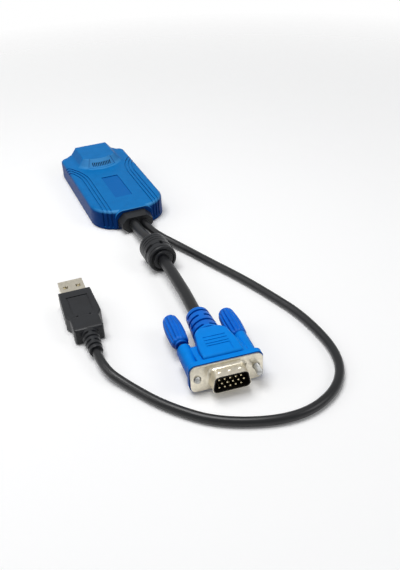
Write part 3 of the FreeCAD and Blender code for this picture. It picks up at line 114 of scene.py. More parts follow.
# %% Leads as NURBS curves
def make_lead(name, route, thickness):
    """A round cable whose centreline is a NURBS spline with the route as its control points."""
    data = bpy.data.curves.new(name, "CURVE")
    data.dimensions = "3D"
    spline = data.splines.new("NURBS")
    spline.points.add(len(route) - 1)
    for point, place in zip(spline.points, route):
        point.co = (*(number * MM for number in place), 1.0)
        # Bounds grow by each point's radius and bevel_depth is a multiple of it, so it is 1 mm.
        point.radius = MM
    spline.order_u = 3
    spline.use_endpoint_u = True
    spline.resolution_u = 12
    data.bevel_depth = thickness / 2
    data.bevel_resolution = 8
    data.use_fill_caps = True
    lead = bpy.data.objects.new(name, data)
    bpy.context.scene.collection.objects.link(lead)
    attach(lead, "dongle")
    return lead


video_lead = make_lead("video_lead", video_route, VIDEO_LEAD)
usb_lead = make_lead("usb_lead", usb_route, USB_LEAD)
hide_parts("video_cable")
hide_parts("usb_cable")

# %% [markdown]
# ## Light and table
# A product picture has one large soft lamp overhead, a weaker one from the side and a
# white table that runs back without an edge.  The lamps stay at a level at which a
# colour renders about as it is written.

# %% Colours
def colour(text):
    """sRGB hex such as '2f62b5' to the linear colour that Blender's shaders use."""
    parts = np.array([int(text[i:i + 2], 16) for i in (0, 2, 4)]) / 255
    linear = np.where(parts <= 0.04045, parts / 12.92, ((parts + 0.055) / 1.055) ** 2.4)
    return (*linear.tolist(), 1.0)


def add_node(owner, kind, settings=None, **links):
    """Adds a node to a material or world.  Settings are its properties or socket values; links join
    its inputs, by name or as _number, to other nodes' outputs."""
    node = owner.node_tree.nodes.new(kind)
    for key, setting in (settings or {}).items():
        if isinstance(key, int) or key in node.inputs:
            node.inputs[key].default_value = setting
        else:
            setattr(node, key, setting)
    for key, output in links.items():
        socket = node.inputs[int(key[1:])] if key[0] == "_" else node.inputs[key.replace("_", " ")]
        owner.node_tree.links.new(output, socket)
    return node


def new_material(name):
    material = bpy.data.materials.new(name)
    material.use_nodes = True
    material.node_tree.nodes.clear()
    return material


# %% Table, world and lamps
def soft_lamp(name, place, target, size, power):
    """A square area lamp that faces a target point."""
    data = bpy.data.lights.new(name, "AREA")
    data.size = size
    data.energy = power
    lamp = bpy.data.objects.new(name, data)
    lamp.location = place
    lamp.rotation_euler = (Vector(target) - Vector(place)).to_track_quat("-Z", "Y").to_euler()
    bpy.context.scene.collection.objects.link(lamp)
    return lamp


middle = (0.09, -0.005, 0.01)
soft_lamp("overhead", (0.03, -0.12, 0.75), middle, 0.50, 4.6)
soft_lamp("side", (0.50, 0.45, 0.45), middle, 0.30, 0.7)
soft_lamp("left", (-0.10, -0.60, 0.45), middle, 0.40, 0.7)

bpy.context.scene.view_settings.view_transform = "Standard"
world = bpy.data.worlds.new("studio")
world.use_nodes = True
world.node_tree.nodes.clear()
bpy.context.scene.world = world
# Strength of the sky for each kind of ray; the first is for all the others.
SKY = ((0.16, None), (0.52, "Is Glossy Ray"), (1.0, "Is Transmission Ray"), (1.0, "Is Camera Ray"))
ray = add_node(world, "ShaderNodeLightPath")
below = None
for strength, kind in SKY:
    sky = add_node(world, "ShaderNodeBackground",
                   {"Color": colour("ffffff" if kind else "f4f6fa"), "Strength": strength})
    if kind:
        sky = add_node(world, "ShaderNodeMixShader",
                       _0=ray.outputs[kind], _1=below.outputs[0], _2=sky.outputs[0])
    below = sky
add_node(world, "ShaderNodeOutputWorld", _0=below.outputs[0])

# The sheet is round and fades out between two distances from its middle, so that it has no edge.
TABLE_RADIUS, FADE_FROM, FADE_TO, TABLE_CORNERS = 0.6, 0.15, 0.58, 64
table_finish = new_material("matt_white_table")
grain = add_node(table_finish, "ShaderNodeTexNoise", {"Scale": 900.0, "Detail": 3.0})
bump = add_node(table_finish, "ShaderNodeBump", {"Strength": 0.03, "Distance": 0.0002},
                Height=grain.outputs[0])
white = add_node(table_finish, "ShaderNodeBsdfPrincipled",
                 {"Base Color": colour("fcfcfc"), "Roughness": 0.95, "Specular IOR Level": 0.1,
                  "Emission Color": colour("ffffff"), "Emission Strength": 0.07},
                 Normal=bump.outputs[0])
# Light that the table sends on to the object comes from a greyer sheet, so walls stay deep in colour.
grey = add_node(table_finish, "ShaderNodeBsdfDiffuse", {"Color": colour("8f8f90")}, Normal=bump.outputs[0])
seen = add_node(table_finish, "ShaderNodeLightPath")
direct = add_node(table_finish, "ShaderNodeMath", {"operation": "MAXIMUM"},
                  _0=seen.outputs["Is Camera Ray"], _1=seen.outputs["Is Glossy Ray"])
sheet = add_node(table_finish, "ShaderNodeMixShader",
                 _0=direct.outputs[0], _1=grey.outputs[0], _2=white.outputs[0])
spot = add_node(table_finish, "ShaderNodeTexCoord")
distance = add_node(table_finish, "ShaderNodeVectorMath", {"operation": "LENGTH"},
                    _0=spot.outputs["Object"])
fade = add_node(table_finish, "ShaderNodeMapRange", {"From Min": FADE_FROM, "From Max": FADE_TO},
                Value=distance.outputs["Value"])
clear = add_node(table_finish, "ShaderNodeBsdfTransparent")
faded = add_node(table_finish, "ShaderNodeMixShader",
                 _0=fade.outputs[0], _1=sheet.outputs[0], _2=clear.outputs[0])
add_node(table_finish, "ShaderNodeOutputMaterial", Surface=faded.outputs[0])
turns = np.linspace(0, 2 * np.pi, TABLE_CORNERS, endpoint=False)
edge = np.stack([TABLE_RADIUS * np.cos(turns), TABLE_RADIUS * np.sin(turns), np.zeros(TABLE_CORNERS)], 1)
mesh = bpy.data.meshes.new("table")
mesh.from_pydata(edge.tolist(), [], [list(range(TABLE_CORNERS))])
mesh.materials.append(table_finish)
table = bpy.data.objects.new("table", mesh)
table.location = (middle[0], middle[1], 0)
bpy.context.scene.collection.objects.link(table)

# %% [markdown]
# ## Finishes
# Moulded plastics differ in three things: their colour, the fine spark-eroded grain of
# the mould (about a quarter of a millimetre), and how far the gloss spreads.  One
# function builds them all, from noise on Object coordinates, so that the grain has its
# real size on every piece.  It can also paint shade on upright faces and a highlight on
# faces that lean towards the leads.

# %% Moulded plastics and rubbers
def moulded(name, tint, shade, roughness, grain_mm, relief, mottle=6.0, sheen=0.35,
            panel=None, wall_shade_tint=None, slope_highlight_tint=None):
    """A moulded finish: two close colours mixed by soft blotches, and a grain in the height.
    grain_mm is the grain's width, relief its height in micrometres; a panel (middle and half
    size along X, the same along Y, lowest Z, in mm, and its colour) is a sunk face;
    wall_shade_tint is painted shade, a deeper colour laid on upright faces by their normal, and
    slope_highlight_tint, which needs wall_shade_tint, is a painted highlight, a paler colour laid
    on faces that lean towards the leads."""
    material = new_material(name)
    place = add_node(material, "ShaderNodeTexCoord")
    blotches = add_node(material, "ShaderNodeTexNoise",
                        {"Scale": 1000 / mottle, "Detail": 4.0, "Roughness": 0.6},
                        Vector=place.outputs["Object"])
    grain = add_node(material, "ShaderNodeTexNoise",
                     {"Scale": 1000 / grain_mm, "Detail": 3.0, "Roughness": 0.65},
                     Vector=place.outputs["Object"])
    ramp = add_node(material, "ShaderNodeValToRGB", _0=blotches.outputs[0])
    ramp.color_ramp.elements[0].position, ramp.color_ramp.elements[1].position = 0.3, 0.7
    ramp.color_ramp.elements[0].color, ramp.color_ramp.elements[1].color = colour(shade), colour(tint)
    gloss = add_node(material, "ShaderNodeMapRange", {"To Min": roughness - 0.06, "To Max": roughness + 0.08},
                     Value=grain.outputs[0])
    bump = add_node(material, "ShaderNodeBump", {"Strength": 0.6, "Distance": relief * 1e-6},
                    Height=grain.outputs[0])
    base = ramp.outputs[0]
    if panel:
        x, half_x, y, half_y, low, panel_tint = panel
        axes = add_node(material, "ShaderNodeSeparateXYZ", _0=place.outputs["Object"])
        inside = add_node(material, "ShaderNodeMath", {"operation": "COMPARE", 1: x * MM, 2: half_x * MM},
                          _0=axes.outputs[0])
        across = add_node(material, "ShaderNodeMath", {"operation": "COMPARE", 1: y * MM, 2: half_y * MM},
                          _0=axes.outputs[1])
        above = add_node(material, "ShaderNodeMath", {"operation": "GREATER_THAN", 1: low * MM},
                         _0=axes.outputs[2])
        both = add_node(material, "ShaderNodeMath", {"operation": "MULTIPLY"},
                        _0=inside.outputs[0], _1=across.outputs[0])
        where = add_node(material, "ShaderNodeMath", {"operation": "MULTIPLY"},
                         _0=both.outputs[0], _1=above.outputs[0])
        tinted = add_node(material, "ShaderNodeMix", {"data_type": "RGBA", 7: colour(panel_tint)},
                          _0=where.outputs[0], _6=base)
        base = tinted.outputs[2]
    # Painted shade: upright faces take the deeper wall colour, mixed in by the height of their normal.
    if wall_shade_tint:
        facing = add_node(material, "ShaderNodeNewGeometry")
        lift = add_node(material, "ShaderNodeSeparateXYZ", _0=facing.outputs["Normal"])
        upright_shade_mix = add_node(material, "ShaderNodeMapRange", {"From Min": 0.1, "From Max": 0.75},
                          Value=lift.outputs[2])
        deep = add_node(material, "ShaderNodeMix", {"data_type": "RGBA", 6: colour(wall_shade_tint)},
                        _0=upright_shade_mix.outputs[0], _7=base)
        base = deep.outputs[2]
    # Painted highlight: faces that lean up and towards the leads take the paler slope colour.
    if slope_highlight_tint:
        lean_towards_leads = add_node(material, "ShaderNodeMath", {"operation": "MULTIPLY"},
                             _0=lift.outputs[0], _1=lift.outputs[2])
        slope_highlight_mix = add_node(material, "ShaderNodeMapRange",
                           {"From Min": 0.12, "From Max": 0.5, "To Max": 0.62}, Value=lean_towards_leads.outputs[0])
        painted_slope_highlight = add_node(material, "ShaderNodeMix", {"data_type": "RGBA", 7: colour(slope_highlight_tint)},
                         _0=slope_highlight_mix.outputs[0], _6=base)
        base = painted_slope_highlight.outputs[2]
    shader = add_node(material, "ShaderNodeBsdfPrincipled", {"Specular IOR Level": sheen},
                      Base_Color=base, Roughness=gloss.outputs[0], Normal=bump.outputs[0])
    add_node(material, "ShaderNodeOutputMaterial", Surface=shader.outputs[0])
    return material


# The bare label recess: middle and half size along X, the same along Y, and lowest Z, in mm.
LABEL = (12.3, 15.3, 0.0, 5.15, 11.0)
# Each wall_shade_tint below is painted shade on upright faces; slope_highlight_tint is a painted highlight on
# faces that lean towards the leads.
box_abs = moulded("spark_textured_ABS_blue", "0a76be", "086eb4", 0.42, 0.28, 22, sheen=0.08, wall_shade_tint="02428e")
box_top_abs = moulded("spark_textured_ABS_blue_top", "0a76be", "086eb4", 0.42, 0.28, 22, sheen=0.08,
                      wall_shade_tint="02428e", slope_highlight_tint="5fb0ea", panel=(*LABEL, "0666b2"))
hood_abs = moulded("satin_PVC_azure", "0288ea", "0281e0", 0.40, 0.35, 10, sheen=0.08, wall_shade_tint="0462ca")
knob_abs = moulded("satin_PVC_royal_blue", "0270dc", "0266cc", 0.30, 0.35, 10, sheen=0.16, wall_shade_tint="0243ac")
overmould = moulded("black_PVC_overmould", "212327", "1a1b1e", 0.36, 0.3, 18, sheen=0.35)
jacket = moulded("black_PVC_cable_jacket", "1b1c1f", "161719", 0.30, 0.5, 18, mottle=10.0, sheen=0.45)
insulator_black = moulded("glass_filled_PBT_black", "17130f", "100d0a", 0.5, 0.2, 10)
nylon = moulded("natural_nylon", "e4ddc8", "d8d0ba", 0.45, 0.3, 10)
package = moulded("epoxy_chip_package", "1b1c1f", "141517", 0.55, 0.12, 8)
solder_mask = moulded("green_solder_mask", "14663a", "0f5530", 0.3, 0.8, 14, mottle=3.0)
sintered = moulded("sintered_ferrite", "35363a", "2a2b2e", 0.6, 0.2, 14)
wire_red = moulded("thin_PVC_wire_jacket", "8c2424", "7b1e1e", 0.4, 0.4, 6)


# %% [markdown]
# Plated metal gets its look from faint drawing lines and from tiny differences in how
# wide its reflections are.  Nickel over steel has a warm, slightly yellow grey.

# %% Plated metals
def plated(name, tint, roughness, line_mm, relief):
    """A metal with fine drawn lines: noise stretched along X on Object coordinates."""
    material = new_material(name)
    place = add_node(material, "ShaderNodeTexCoord")
    stretch = add_node(material, "ShaderNodeMapping", {"Scale": (0.06, 1.0, 1.0)},
                       Vector=place.outputs["Object"])
    lines = add_node(material, "ShaderNodeTexNoise", {"Scale": 1000 / line_mm, "Detail": 3.0},
                     Vector=stretch.outputs[0])
    spots = add_node(material, "ShaderNodeTexNoise", {"Scale": 700.0, "Detail": 4.0},
                     Vector=place.outputs["Object"])
    ramp = add_node(material, "ShaderNodeValToRGB", _0=spots.outputs[0])
    base = np.array(colour(tint)[:3])
    ramp.color_ramp.elements[0].position, ramp.color_ramp.elements[1].position = 0.35, 0.65
    ramp.color_ramp.elements[0].color = (*(base * 0.86).tolist(), 1)
    ramp.color_ramp.elements[1].color = (*base.tolist(), 1)
    gloss = add_node(material, "ShaderNodeMapRange",
                     {"To Min": roughness - 0.05, "To Max": roughness + 0.1}, Value=lines.outputs[0])
    bump = add_node(material, "ShaderNodeBump", {"Strength": 0.4, "Distance": relief * 1e-6},
                    Height=lines.outputs[0])
    shader = add_node(material, "ShaderNodeBsdfPrincipled", {"Metallic": 1.0},
                      Base_Color=ramp.outputs[0], Roughness=gloss.outputs[0], Normal=bump.outputs[0])
    add_node(material, "ShaderNodeOutputMaterial", Surface=shader.outputs[0])
    return material


nickel = plated("nickel_plated_steel", "ede6d4", 0.28, 0.15, 3)
gold = plated("gold_flashed_contact", "e0d3ae", 0.25, 0.1, 2)
zinc = plated("zinc_plated_screw_steel", "c9cac8", 0.3, 0.1, 3)
tin = plated("drawn_aluminium_can", "d8d9da", 0.3, 0.2, 3)

# %% Finish of each lead
for lead in (video_lead, usb_lead):
    lead.data.materials.append(jacket)

# %% [markdown]
# ## Moulded pieces from the part's own solids
# A real moulding has no knife edges.  The part's meshes are left alone: each visible
# moulding is a copy whose doubled corners are merged and whose edges a Bevel modifier
# rounds.  Two of the copies are also reshaped a little.

# %% Frames of the two plugs
class PlugFrame:
    """A plug's own frame: its origin and heading, to turn local millimetres into metres."""

    def __init__(self, origin, heading):
        self.origin = np.array(origin, float)
        turn = math.radians(heading)
        self.axes = np.array([[math.cos(turn), math.sin(turn), 0],
                              [-math.sin(turn), math.cos(turn), 0],
                              [0, 0, 1]])

    def place(self, points):
        """Local millimetres to metres in the part's frame."""
        return (np.asarray(points) @ self.axes + self.origin) * MM

    def local(self, cells):
        """The corners of a bmesh in local millimetres."""
        return (np.array([corner.co for corner in cells.verts]) / MM - self.origin) @ self.axes.T

    def move(self, cells, places):
        """Puts the corners of a bmesh at local places."""
        for corner, place in zip(cells.verts, self.place(places)):
            corner.co = place

    def cut(self, cells, spot, facing):
        """Adds edges to a bmesh where a plane through a local spot crosses it."""
        bmesh.ops.bisect_plane(cells, geom=cells.verts[:] + cells.edges[:] + cells.faces[:], dist=1e-6,
                               plane_co=self.place([spot])[0], plane_no=np.asarray(facing) @ self.axes)


video_frame = PlugFrame((192.5, -8.6, 7.6), -5.3)
usb_frame = PlugFrame((106.4, -50.3, 4.1), -2.3)
table_frame = PlugFrame((0, 0, 0), 0)


# %% A softened copy of a CAD node
def softened(node, name, finish, round_mm, body="dongle", angle=28, reshape=None):
    """A copy of a CAD node with merged corners and rounded edges, which stands for the node."""
    cells = bmesh.new()
    cells.from_mesh(nodes[node].data)
    bmesh.ops.remove_doubles(cells, verts=cells.verts, dist=2e-6)
    if reshape:
        reshape(cells)
    mesh = bpy.data.meshes.new(name)
    cells.to_mesh(mesh)
    cells.free()
    mesh.shade_smooth()
    mesh.set_sharp_from_angle(angle=math.radians(angle))
    mesh.materials.clear()
    mesh.materials.append(finish)
    piece = bpy.data.objects.new(name, mesh)
    bpy.context.scene.collection.objects.link(piece)
    if round_mm:
        bevel = piece.modifiers.new("rounded_edges", "BEVEL")
        bevel.width = round_mm * MM
        bevel.segments = 2
        bevel.limit_method = "ANGLE"
        bevel.angle_limit = math.radians(angle)
        bevel.use_clamp_overlap = True
        bevel.miter_outer = "MITER_ARC"
        piece.modifiers.new("even_shading", "WEIGHTED_NORMAL").keep_sharp = True
    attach(piece, body)
    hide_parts(node)
    print(name, len(mesh.polygons), "faces")
    return piece


def hood_form(cells):
    """The block's back face comes forward.  The hood's middle widens near the block, and past 10 mm
    from the plate it shrinks with the square of the distance, like a dome.  The screw tubes become
    upright ovals.  Local X runs to the plate's front, so the hood lies at negative X."""
    block_back, new_block_back = -5.7, -3.4
    tube_middle, tube_end = 12.5, -19.1
    places = video_frame.local(cells)
    places[np.abs(places[:, 0] - block_back) < 0.04, 0] = new_block_back
    video_frame.move(cells, places)
    for x in np.arange(-23.9, -5.0, 0.9):
        video_frame.cut(cells, (x, 0, 0), (1, 0, 0))
    for y in (-6.5, -5.4, -3.6, -1.8, 1.8, 3.6, 5.4, 6.5):
        video_frame.cut(cells, (0, y, 0), (0, 1, 0))
    places = video_frame.local(cells)
    x, y, z = places.T
    middle_part = (np.abs(y) < 8.05) & (np.hypot(y, z) > 6.35) & (x < new_block_back - 0.05)
    dome = np.clip((-10 - x) / 14.5, 0, 1) ** 2
    front = np.clip((x + 19) / 11, 0, 1)
    wider = np.where(middle_part & (np.abs(y) > 6.4), 1 + 0.09 * front * front * (3 - 2 * front), 1.0)
    places[:, 1] *= wider * np.where(middle_part, 1 - 0.19 * dome, 1.0)
    places[:, 2] *= np.where(middle_part, 1 - 0.16 * dome, 1.0)
    beside = np.hypot(np.abs(y) - tube_middle, z)
    tube = (beside > 2.9) & (beside < 3.3) & (x < new_block_back + 0.1) & (x > tube_end)
    places[:, 2] *= np.where(tube, 1.3, 1.0)
    video_frame.move(cells, places)


def grip_form(cells):
    """The grip's back end is narrower than its solid and rounds off over the last 2 mm."""
    for x in (30.6, 31.2, 31.8, 32.3, 32.7):
        usb_frame.cut(cells, (x, 0, 0), (1, 0, 0))
    places = usb_frame.local(cells)
    x, y, z = places.T
    end_part = (x > 29.9) & (x < 33.02) & (np.hypot(y, z) > 4.06)
    turn = np.clip((x - 31.2) / 1.8, 0, 1) ** 2
    narrow = 0.11 * np.clip((x - 29.8) / 1.2, 0, 1)
    places[:, 1] *= np.where(end_part, 1 - narrow - 0.09 * turn, 1.0)
    places[:, 2] *= np.where(end_part & (np.abs(z) > 3.0), 1 - 0.10 * turn, 1.0)
    usb_frame.move(cells, places)


softened("upper_shell", "box_top", box_top_abs, 0.14, angle=34)
softened("lower_shell", "box_floor", box_abs, 0.12)
grommet = softened("cable_grommet", "lead_grommet", overmould, 0.4)
hood = softened("video_plug_hood", "video_hood", hood_abs, 0.12, angle=32, reshape=hood_form)
grip = softened("usb_plug_grip", "usb_grip", overmould, 0.3, angle=32, reshape=grip_form)
video_shell = softened("video_plug_shell", "video_shell", nickel, 0.08)
usb_shell = softened("usb_plug_shell", "usb_shell", nickel, 0.1)


# %% [markdown]
# ## Turned and fluted pieces
# A turned piece is a profile swept round an axis.  Adding a term that depends on the
# angle gives flutes, and one that depends on angle and length together gives a thread.

# %% Surfaces on a grid
def skin(name, points, finish, body="dongle", smooth_angle=40):
    """Joins a grid of points, rows along the piece and columns round it, into one closed mesh."""
    rows, columns = points.shape[:2]
    i, j = np.meshgrid(np.arange(rows - 1), np.arange(columns), indexing="ij")
    k = (j + 1) % columns
    quads = np.stack([i * columns + j, i * columns + k, (i + 1) * columns + k, (i + 1) * columns + j], -1)
    mesh = bpy.data.meshes.new(name)
    mesh.from_pydata(points.reshape(-1, 3).tolist(), [], quads.reshape(-1, 4).tolist())
    cells = bmesh.new()
    cells.from_mesh(mesh)
    bmesh.ops.remove_doubles(cells, verts=cells.verts, dist=1e-7)
    bmesh.ops.dissolve_degenerate(cells, edges=cells.edges, dist=1e-8)
    bmesh.ops.recalc_face_normals(cells, faces=cells.faces)
    cells.to_mesh(mesh)
    cells.free()
    mesh.shade_smooth()
    mesh.set_sharp_from_angle(angle=math.radians(smooth_angle))
    mesh.materials.append(finish)
    piece = bpy.data.objects.new(name, mesh)
    bpy.context.scene.collection.objects.link(piece)
    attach(piece, body)
    return piece


def finely(profile, step):
    """Extra points on a profile's straight stretches, so that no stretch is longer than the step."""
    profile = np.asarray(profile, float)
    pieces = [np.linspace(a, b, max(2, int(np.ceil(np.linalg.norm(b - a) / step)) + 1))[:-1]
              for a, b in zip(profile, profile[1:])]
    return np.concatenate(pieces + [profile[-1:]])


def turned_piece(name, plug, axis_y, axis_z, profile, finish, slot, shape, turns,
                 body="dongle", smooth_angle=40):
    """Sweeps (x, r) round an axis along the plug's X; shape(x, r, angle) gives the radius."""
    profile = np.asarray(profile, float)
    x, r = profile[:, :1], profile[:, 1:]
    angle = np.linspace(0, 2 * np.pi, turns, endpoint=False)[None, :]
    radius = shape(x, r, angle)
    points = np.stack([np.broadcast_to(x, radius.shape), axis_y + radius * np.sin(angle),
                       axis_z + radius * np.cos(angle)], -1)
    return skin(name, plug.place(points), finish, body, smooth_angle=smooth_angle)


# %% Ferrite sleeve
SLEEVE_X, SLEEVE_RADIUS = 82.0, 7.7
SLEEVE_AXIS = (-1.85, 7.7)
sleeve_profile = [(0.0, 3.1), (0.0, 3.7), (0.5, 3.9), (0.7, 6.4), (0.9, 6.8), (1.3, 7.3), (1.9, 7.6),
                  (2.4, 7.7), (3.5, 7.7), (3.55, 7.4), (3.85, 7.4), (3.9, 7.7), (5.6, 7.7), (5.65, 7.4),
                  (5.95, 7.4), (6.0, 7.7), (7.7, 7.7), (7.75, 7.4), (8.05, 7.4), (8.1, 7.7), (11.6, 7.7),
                  (11.7, 7.45), (15.2, 7.45), (15.25, 7.2), (15.55, 7.2), (15.6, 7.45), (16.3, 7.4),
                  (16.7, 7.25), (16.95, 6.95), (17.0, 6.6), (17.0, 6.1), (16.3, 6.0), (16.3, 5.5),
                  (17.0, 5.4), (17.0, 5.0), (17.4, 4.9), (17.65, 4.6), (17.78, 4.2), (17.8, 3.7), (17.8, 3.1)]
# Pockets of the snap catches: first and last X, lowest and highest angle in degrees, depth in mm.
POCKETS = ((10.7, 12.2, -68, -28, 1.1), (10.4, 13.3, 4, 15, 1.4), (10.7, 12.2, 112, 152, 1.1),
           (10.4, 13.3, -176, -165, 1.4), (12.2, 17.2, 140, 146, 0.9))


def latched(x, r, angle):
    """Radius less the deepest pocket there, where the sleeve is at its full thickness."""
    here = x - SLEEVE_X
    turn = (np.degrees(angle) + 180) % 360 - 180
    depth = np.zeros(np.broadcast(here, turn).shape)
    for first, last, low, high, deep in POCKETS:
        along = np.clip((here - first) / 0.15, 0, 1) * np.clip((last - here) / 0.15, 0, 1)
        round_about = np.clip((turn - low) / 1.5, 0, 1) * np.clip((high - turn) / 1.5, 0, 1)
        depth = np.maximum(depth, deep * along * round_about)
    return r - depth * (r > 6.5)


sleeve = turned_piece("ferrite_overmould", table_frame, *SLEEVE_AXIS,
                      finely([(SLEEVE_X + x, min(r, SLEEVE_RADIUS - 0.02)) for x, r in sleeve_profile], 0.2),
                      overmould, "black_moulding", latched, turns=240)
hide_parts("ferrite_sleeve")

# %% [markdown]
# ## Thumbscrews
# The knob is moulded with twelve finger flutes that fade out towards its ends; the
# screw has a 4-40 thread, which repeats every 0.635 mm.

# %% Knobs and screws
KNOB_LENGTH, FLUTES, FLUTE_DEPTH = 20.3, 12, 0.62
THREAD_PITCH, THREAD_DEPTH, THREAD_LENGTH = 0.635, 0.30, 13.0
THREAD_RADIUS, SHANK_RADIUS = 1.42, 1.1
SCREW_SPREAD = 12.5


def fluted(x, r, angle, front):
    """Radius less a rounded flute: depth * (raised cosine of the angle) ** 2, faded at both ends."""
    along = np.clip((front - x) / KNOB_LENGTH, 0, 1)
    fade = np.clip((along - 0.06) / 0.10, 0, 1) * np.clip((0.97 - along) / 0.12, 0, 1)
    wave = (0.5 + 0.5 * np.cos(FLUTES * angle)) ** 2
    return r - FLUTE_DEPTH * fade * wave * (r > 1.5)


def threaded(x, r, angle, back):
    """Radius less the thread's depth times a triangle wave of x / pitch - turns."""
    phase = (x / THREAD_PITCH - angle / (2 * np.pi)) % 1.0
    cut = np.abs(phase * 2 - 1)
    return r - THREAD_DEPTH * cut * ((x > back) & (r > 1.3))


# The left screw is drawn back by 3.7 mm and the right one is home.
for side, y, drawn in (("left", -SCREW_SPREAD, 3.7), ("right", SCREW_SPREAD, 0.0)):
    body = f"thumbscrew_{side}"
    face = -19.08 - drawn
    knob_profile = finely([(face, 1.15), (face, 2.45), (face - 0.15, 2.65), (face - 0.5, 2.8),
                           (face - 0.9, 2.8), (face - 1.3, 3.3), (face - 1.9, 3.7), (face - 2.8, 3.85),
                           (face - 6, 4.05), (face - 10.1, 4.2), (face - 14, 4.1), (face - 16.7, 3.85),
                           (face - 18.5, 3.55), (face - 19.4, 3.2), (face - 19.9, 2.85), (face - 20.2, 2.3),
                           (face - KNOB_LENGTH, 1.6), (face - KNOB_LENGTH, 0.0)], 0.4)
    knob = turned_piece(f"knob_{side}", video_frame, y, 0.0, knob_profile, knob_abs, "blue_hood",
                        lambda x, r, angle: fluted(x, r, angle, face), turns=144, body=body)
    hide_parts(f"thumbscrew_{side}_knob")
    tip = 5.0 - drawn
    thread_end = tip - THREAD_LENGTH
    thread_x = np.arange(tip - 0.4, thread_end, -0.08)
    screw_profile = np.concatenate([[(tip, 0.0), (tip, 0.9), (tip - 0.15, 1.0)],
                                    np.column_stack([thread_x, np.full(len(thread_x), THREAD_RADIUS)]),
                                    [(thread_end, THREAD_RADIUS), (tip - 13.05, SHANK_RADIUS),
                                     (face, SHANK_RADIUS), (face - 7.0, SHANK_RADIUS), (face - 7.0, 0.0)]])
    screw = turned_piece(f"screw_{side}", video_frame, y, 0.0, screw_profile, zinc, "screw_steel",
                         lambda x, r, angle: threaded(x, r, angle, thread_end), turns=32, body=body,
                         smooth_angle=60)
    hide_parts(f"thumbscrew_{side}_screw")

# %% [markdown]
# ## Strain reliefs
# A flexible relief is a row of rings joined by short bridges.  The bridges of one groove
# stand above and below the cable, those of the next at its sides, so it bends both ways.

# %% Ringed reliefs
GROOVES = 4


def relief(name, plug, ends, radii, first, pitch, width, depth, bore, finish, slot, side=1):
    """A sleeve between two ends, whose radius runs from one to the other and whose grooves are open
    only between their bridges.  Radius = the cone's radius - depth * (in a groove) * (away from
    that groove's bridges).  The grooves start at first; side is -1 where they run towards -X."""
    start, end = ends
    base, tip = radii
    step = side * 0.15
    x = np.concatenate([[start], np.arange(start + step, end - side * 0.1, step), [end]])
    span = (x - start) / (end - start)
    cone = base + (tip - base) * span + 0.03
    cone[-1] -= 0.5
    cone[-2] -= 0.12
    profile = np.concatenate([[(start, bore)], np.stack([x, cone], 1), [(end, bore), (start, bore)]])

    def grooved(x, r, angle):
        along = side * (x - first) / pitch
        number = np.floor(along)
        within = (along - number) * pitch
        groove = np.clip(within / 0.15, 0, 1) * np.clip((width - within) / 0.15, 0, 1)
        groove = groove * ((number >= 0) & (number < GROOVES))
        away = np.where(number % 2 == 0, np.abs(np.sin(angle)), np.abs(np.cos(angle)))
        gate = np.clip((away - 0.20) / 0.10, 0, 1)
        return r - depth * groove * gate * (r > bore + 0.01)

    return turned_piece(name, plug, 0.0, 0.0, profile, finish, slot, grooved, turns=96)


hood_relief = relief("hood_relief", video_frame, (-24.6, -40.46), (6.295, 5.4), first=-25.7, pitch=3.9,
                     width=1.2, depth=1.17, bore=3.0, finish=knob_abs, slot="blue_hood", side=-1)
grip_relief = relief("grip_relief", usb_frame, (33.05, 45.47), (4.05, 2.95), first=34.6, pitch=2.7,
                     width=1.1, depth=0.78, bore=2.05, finish=overmould, slot="black_moulding")
print("reliefs:", len(hood_relief.data.polygons), len(grip_relief.data.polygons), "faces")

# %% [markdown]
# ## Drawn foot and shade liner of the D-shaped shell
# Sheet metal that is drawn up from a plate leaves it in a small curve.  The outline is a
# trapezium with round corners; growing it by a shrinking amount gives that curve.  The
# same outline, made smaller, gives a black liner inside the shell: painted shade, a dark
# sheet over the shell's inner walls and the inner edge of its rim, where only shade falls.

# %% Flared foot and painted shade liner
SHELL_WIDE, SHELL_HIGH, SHELL_LEAN, SHELL_CORNER = 8.46, 4.18, math.radians(10), 2.2


def d_ring(grow):
    """Corner arcs of the D: each centre lies one corner radius inside both sides; (y, z) in mm."""
    places = []
    for z, first, last in ((-SHELL_HIGH + SHELL_CORNER, -90, 10), (SHELL_HIGH - SHELL_CORNER, 10, 90)):
        y = SHELL_WIDE - (z + SHELL_HIGH) * math.tan(SHELL_LEAN) - SHELL_CORNER / math.cos(SHELL_LEAN)
        angle = np.radians(np.linspace(first, last, 12))
        reach = SHELL_CORNER + grow
        places.append(np.stack([y + reach * np.cos(angle), z + reach * np.sin(angle)], 1))
    half = np.concatenate(places)
    return np.concatenate([half, half[::-1] * (-1, 1)])


def d_skin(name, rows, finish):
    """A closed band round the D; a row is (x, how far the outline is grown there)."""
    rings = []
    for x, grow in rows:
        ring = d_ring(grow)
        rings.append(np.column_stack([np.full(len(ring), x), ring]))
    return skin(name, video_frame.place(np.stack(rings)), finish, smooth_angle=50)


shell_foot = d_skin("shell_foot", [(0.0, -0.1), (0.0, 1.05), (0.05, 1.05), (0.12, 0.72), (0.25, 0.42),
                                   (0.45, 0.22), (0.75, 0.09), (1.1, 0.02), (1.12, -0.1), (0.0, -0.1)],
                    nickel)
# Painted shade: a black sheet over the shell's inner walls and the inner edge of its rim, where only shade
# falls.
shell_shade_liner = d_skin("shell_shade_liner", [(5.935, -0.2), (5.935, -0.62), (0.65, -0.62), (0.65, -0.47),
                                     (5.9, -0.47), (5.905, -0.2), (5.935, -0.2)],
                     insulator_black)

# %% [markdown]
# Three pressed bumps on the wide shell's top grip the socket.  Webs join the hood's
# screw tubes to its middle.  Both are stacks of rounded rectangles that end in a point.

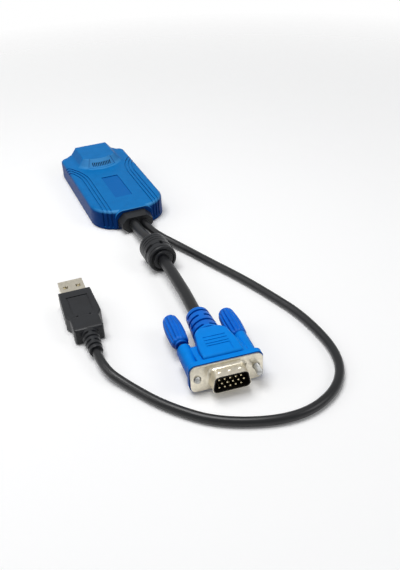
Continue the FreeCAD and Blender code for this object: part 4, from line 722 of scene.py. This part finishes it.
# %% Bumps and webs
def rounded_ring(half_a, half_b, corner, steps=6):
    """Corner arcs of a rounded rectangle, anticlockwise: (a, b)."""
    arcs = []
    for sign_a, sign_b, start in ((1, 1, 0), (-1, 1, 90), (-1, -1, 180), (1, -1, 270)):
        angle = np.radians(np.linspace(start, start + 90, steps))
        arcs.append(np.stack([sign_a * (half_a - corner) + corner * np.cos(angle),
                              sign_b * (half_b - corner) + corner * np.sin(angle)], 1))
    return np.concatenate(arcs)


def stack(name, rows, order, centre, finish):
    """A closed piece through rounded rectangles; a row is (height, half_a, half_b, corner), and
    order says which of a, b and height become X, Y and Z."""
    rings = []
    for height, half_a, half_b, corner in [(rows[0][0], 0, 0, 0), *rows, (rows[-1][0], 0, 0, 0)]:
        ring = rounded_ring(half_a, half_b, corner)
        rings.append(np.column_stack([ring, np.full(len(ring), height)])[:, order] + centre)
    return skin(name, video_frame.place(np.stack(rings)), finish, smooth_angle=35)


bump_rows = [(3.9, 0.85, 0.8, 0.15), (4.2, 0.85, 0.8, 0.15), (4.38, 0.55, 0.5, 0.12)]
bumps = [stack(f"shell_bump_{number}", bump_rows, [0, 1, 2], (3.0, y, 0.0), nickel)
         for number, y in enumerate((-4.3, 0.0, 4.3))]
web_rows = [(-16.8, 1.6, 3.0, 0.6), (-16.2, 2.0, 3.7, 0.9), (-8.8, 2.0, 4.7, 0.9),
            (-8.0, 2.0, 5.5, 0.9), (-3.2, 2.0, 5.6, 0.9)]
webs = [stack(f"hood_web_{number}", web_rows, [2, 0, 1], (0.0, y, 0.0), hood_abs)
        for number, y in enumerate((-8.9, 8.9))]

# %% [markdown]
# ## Nodes that keep their own mesh
# What is left is inside the part or already has the right shape, so it only gets a finish.

# %% Finishes for the remaining nodes
finish_of = {"black_insulator": insulator_black, "connector_metal": nickel, "contact_gold": gold,
             "screw_steel": zinc, "board_green": solder_mask, "chip_black": package, "header_white": nylon,
             "can_metal": tin, "ferrite_grey": sintered, "wire_jacket": wire_red, "blue_shell": box_abs,
             "blue_hood": hood_abs, "black_cable": jacket, "black_moulding": overmould}
for entry in frame["record"]["subparts"]:
    node = nodes[entry["node"]]
    if not node.hide_render:
        node.data.materials.clear()
        node.data.materials.append(finish_of[entry["material_slot"]])

# %% [markdown]
# ## Pieces around the video plug
# The video plug's metal, insulator and pins, the ferrite core, and the pieces made for its shell and hood are
# gathered in one list.

metal_and_pins = [nodes[name] for name in ("video_plug_backshell", "video_plug_insulator",
                                           "video_plug_pins", "ferrite_core")]
metal_and_pins += [video_shell, shell_foot, shell_shade_liner] + bumps + webs
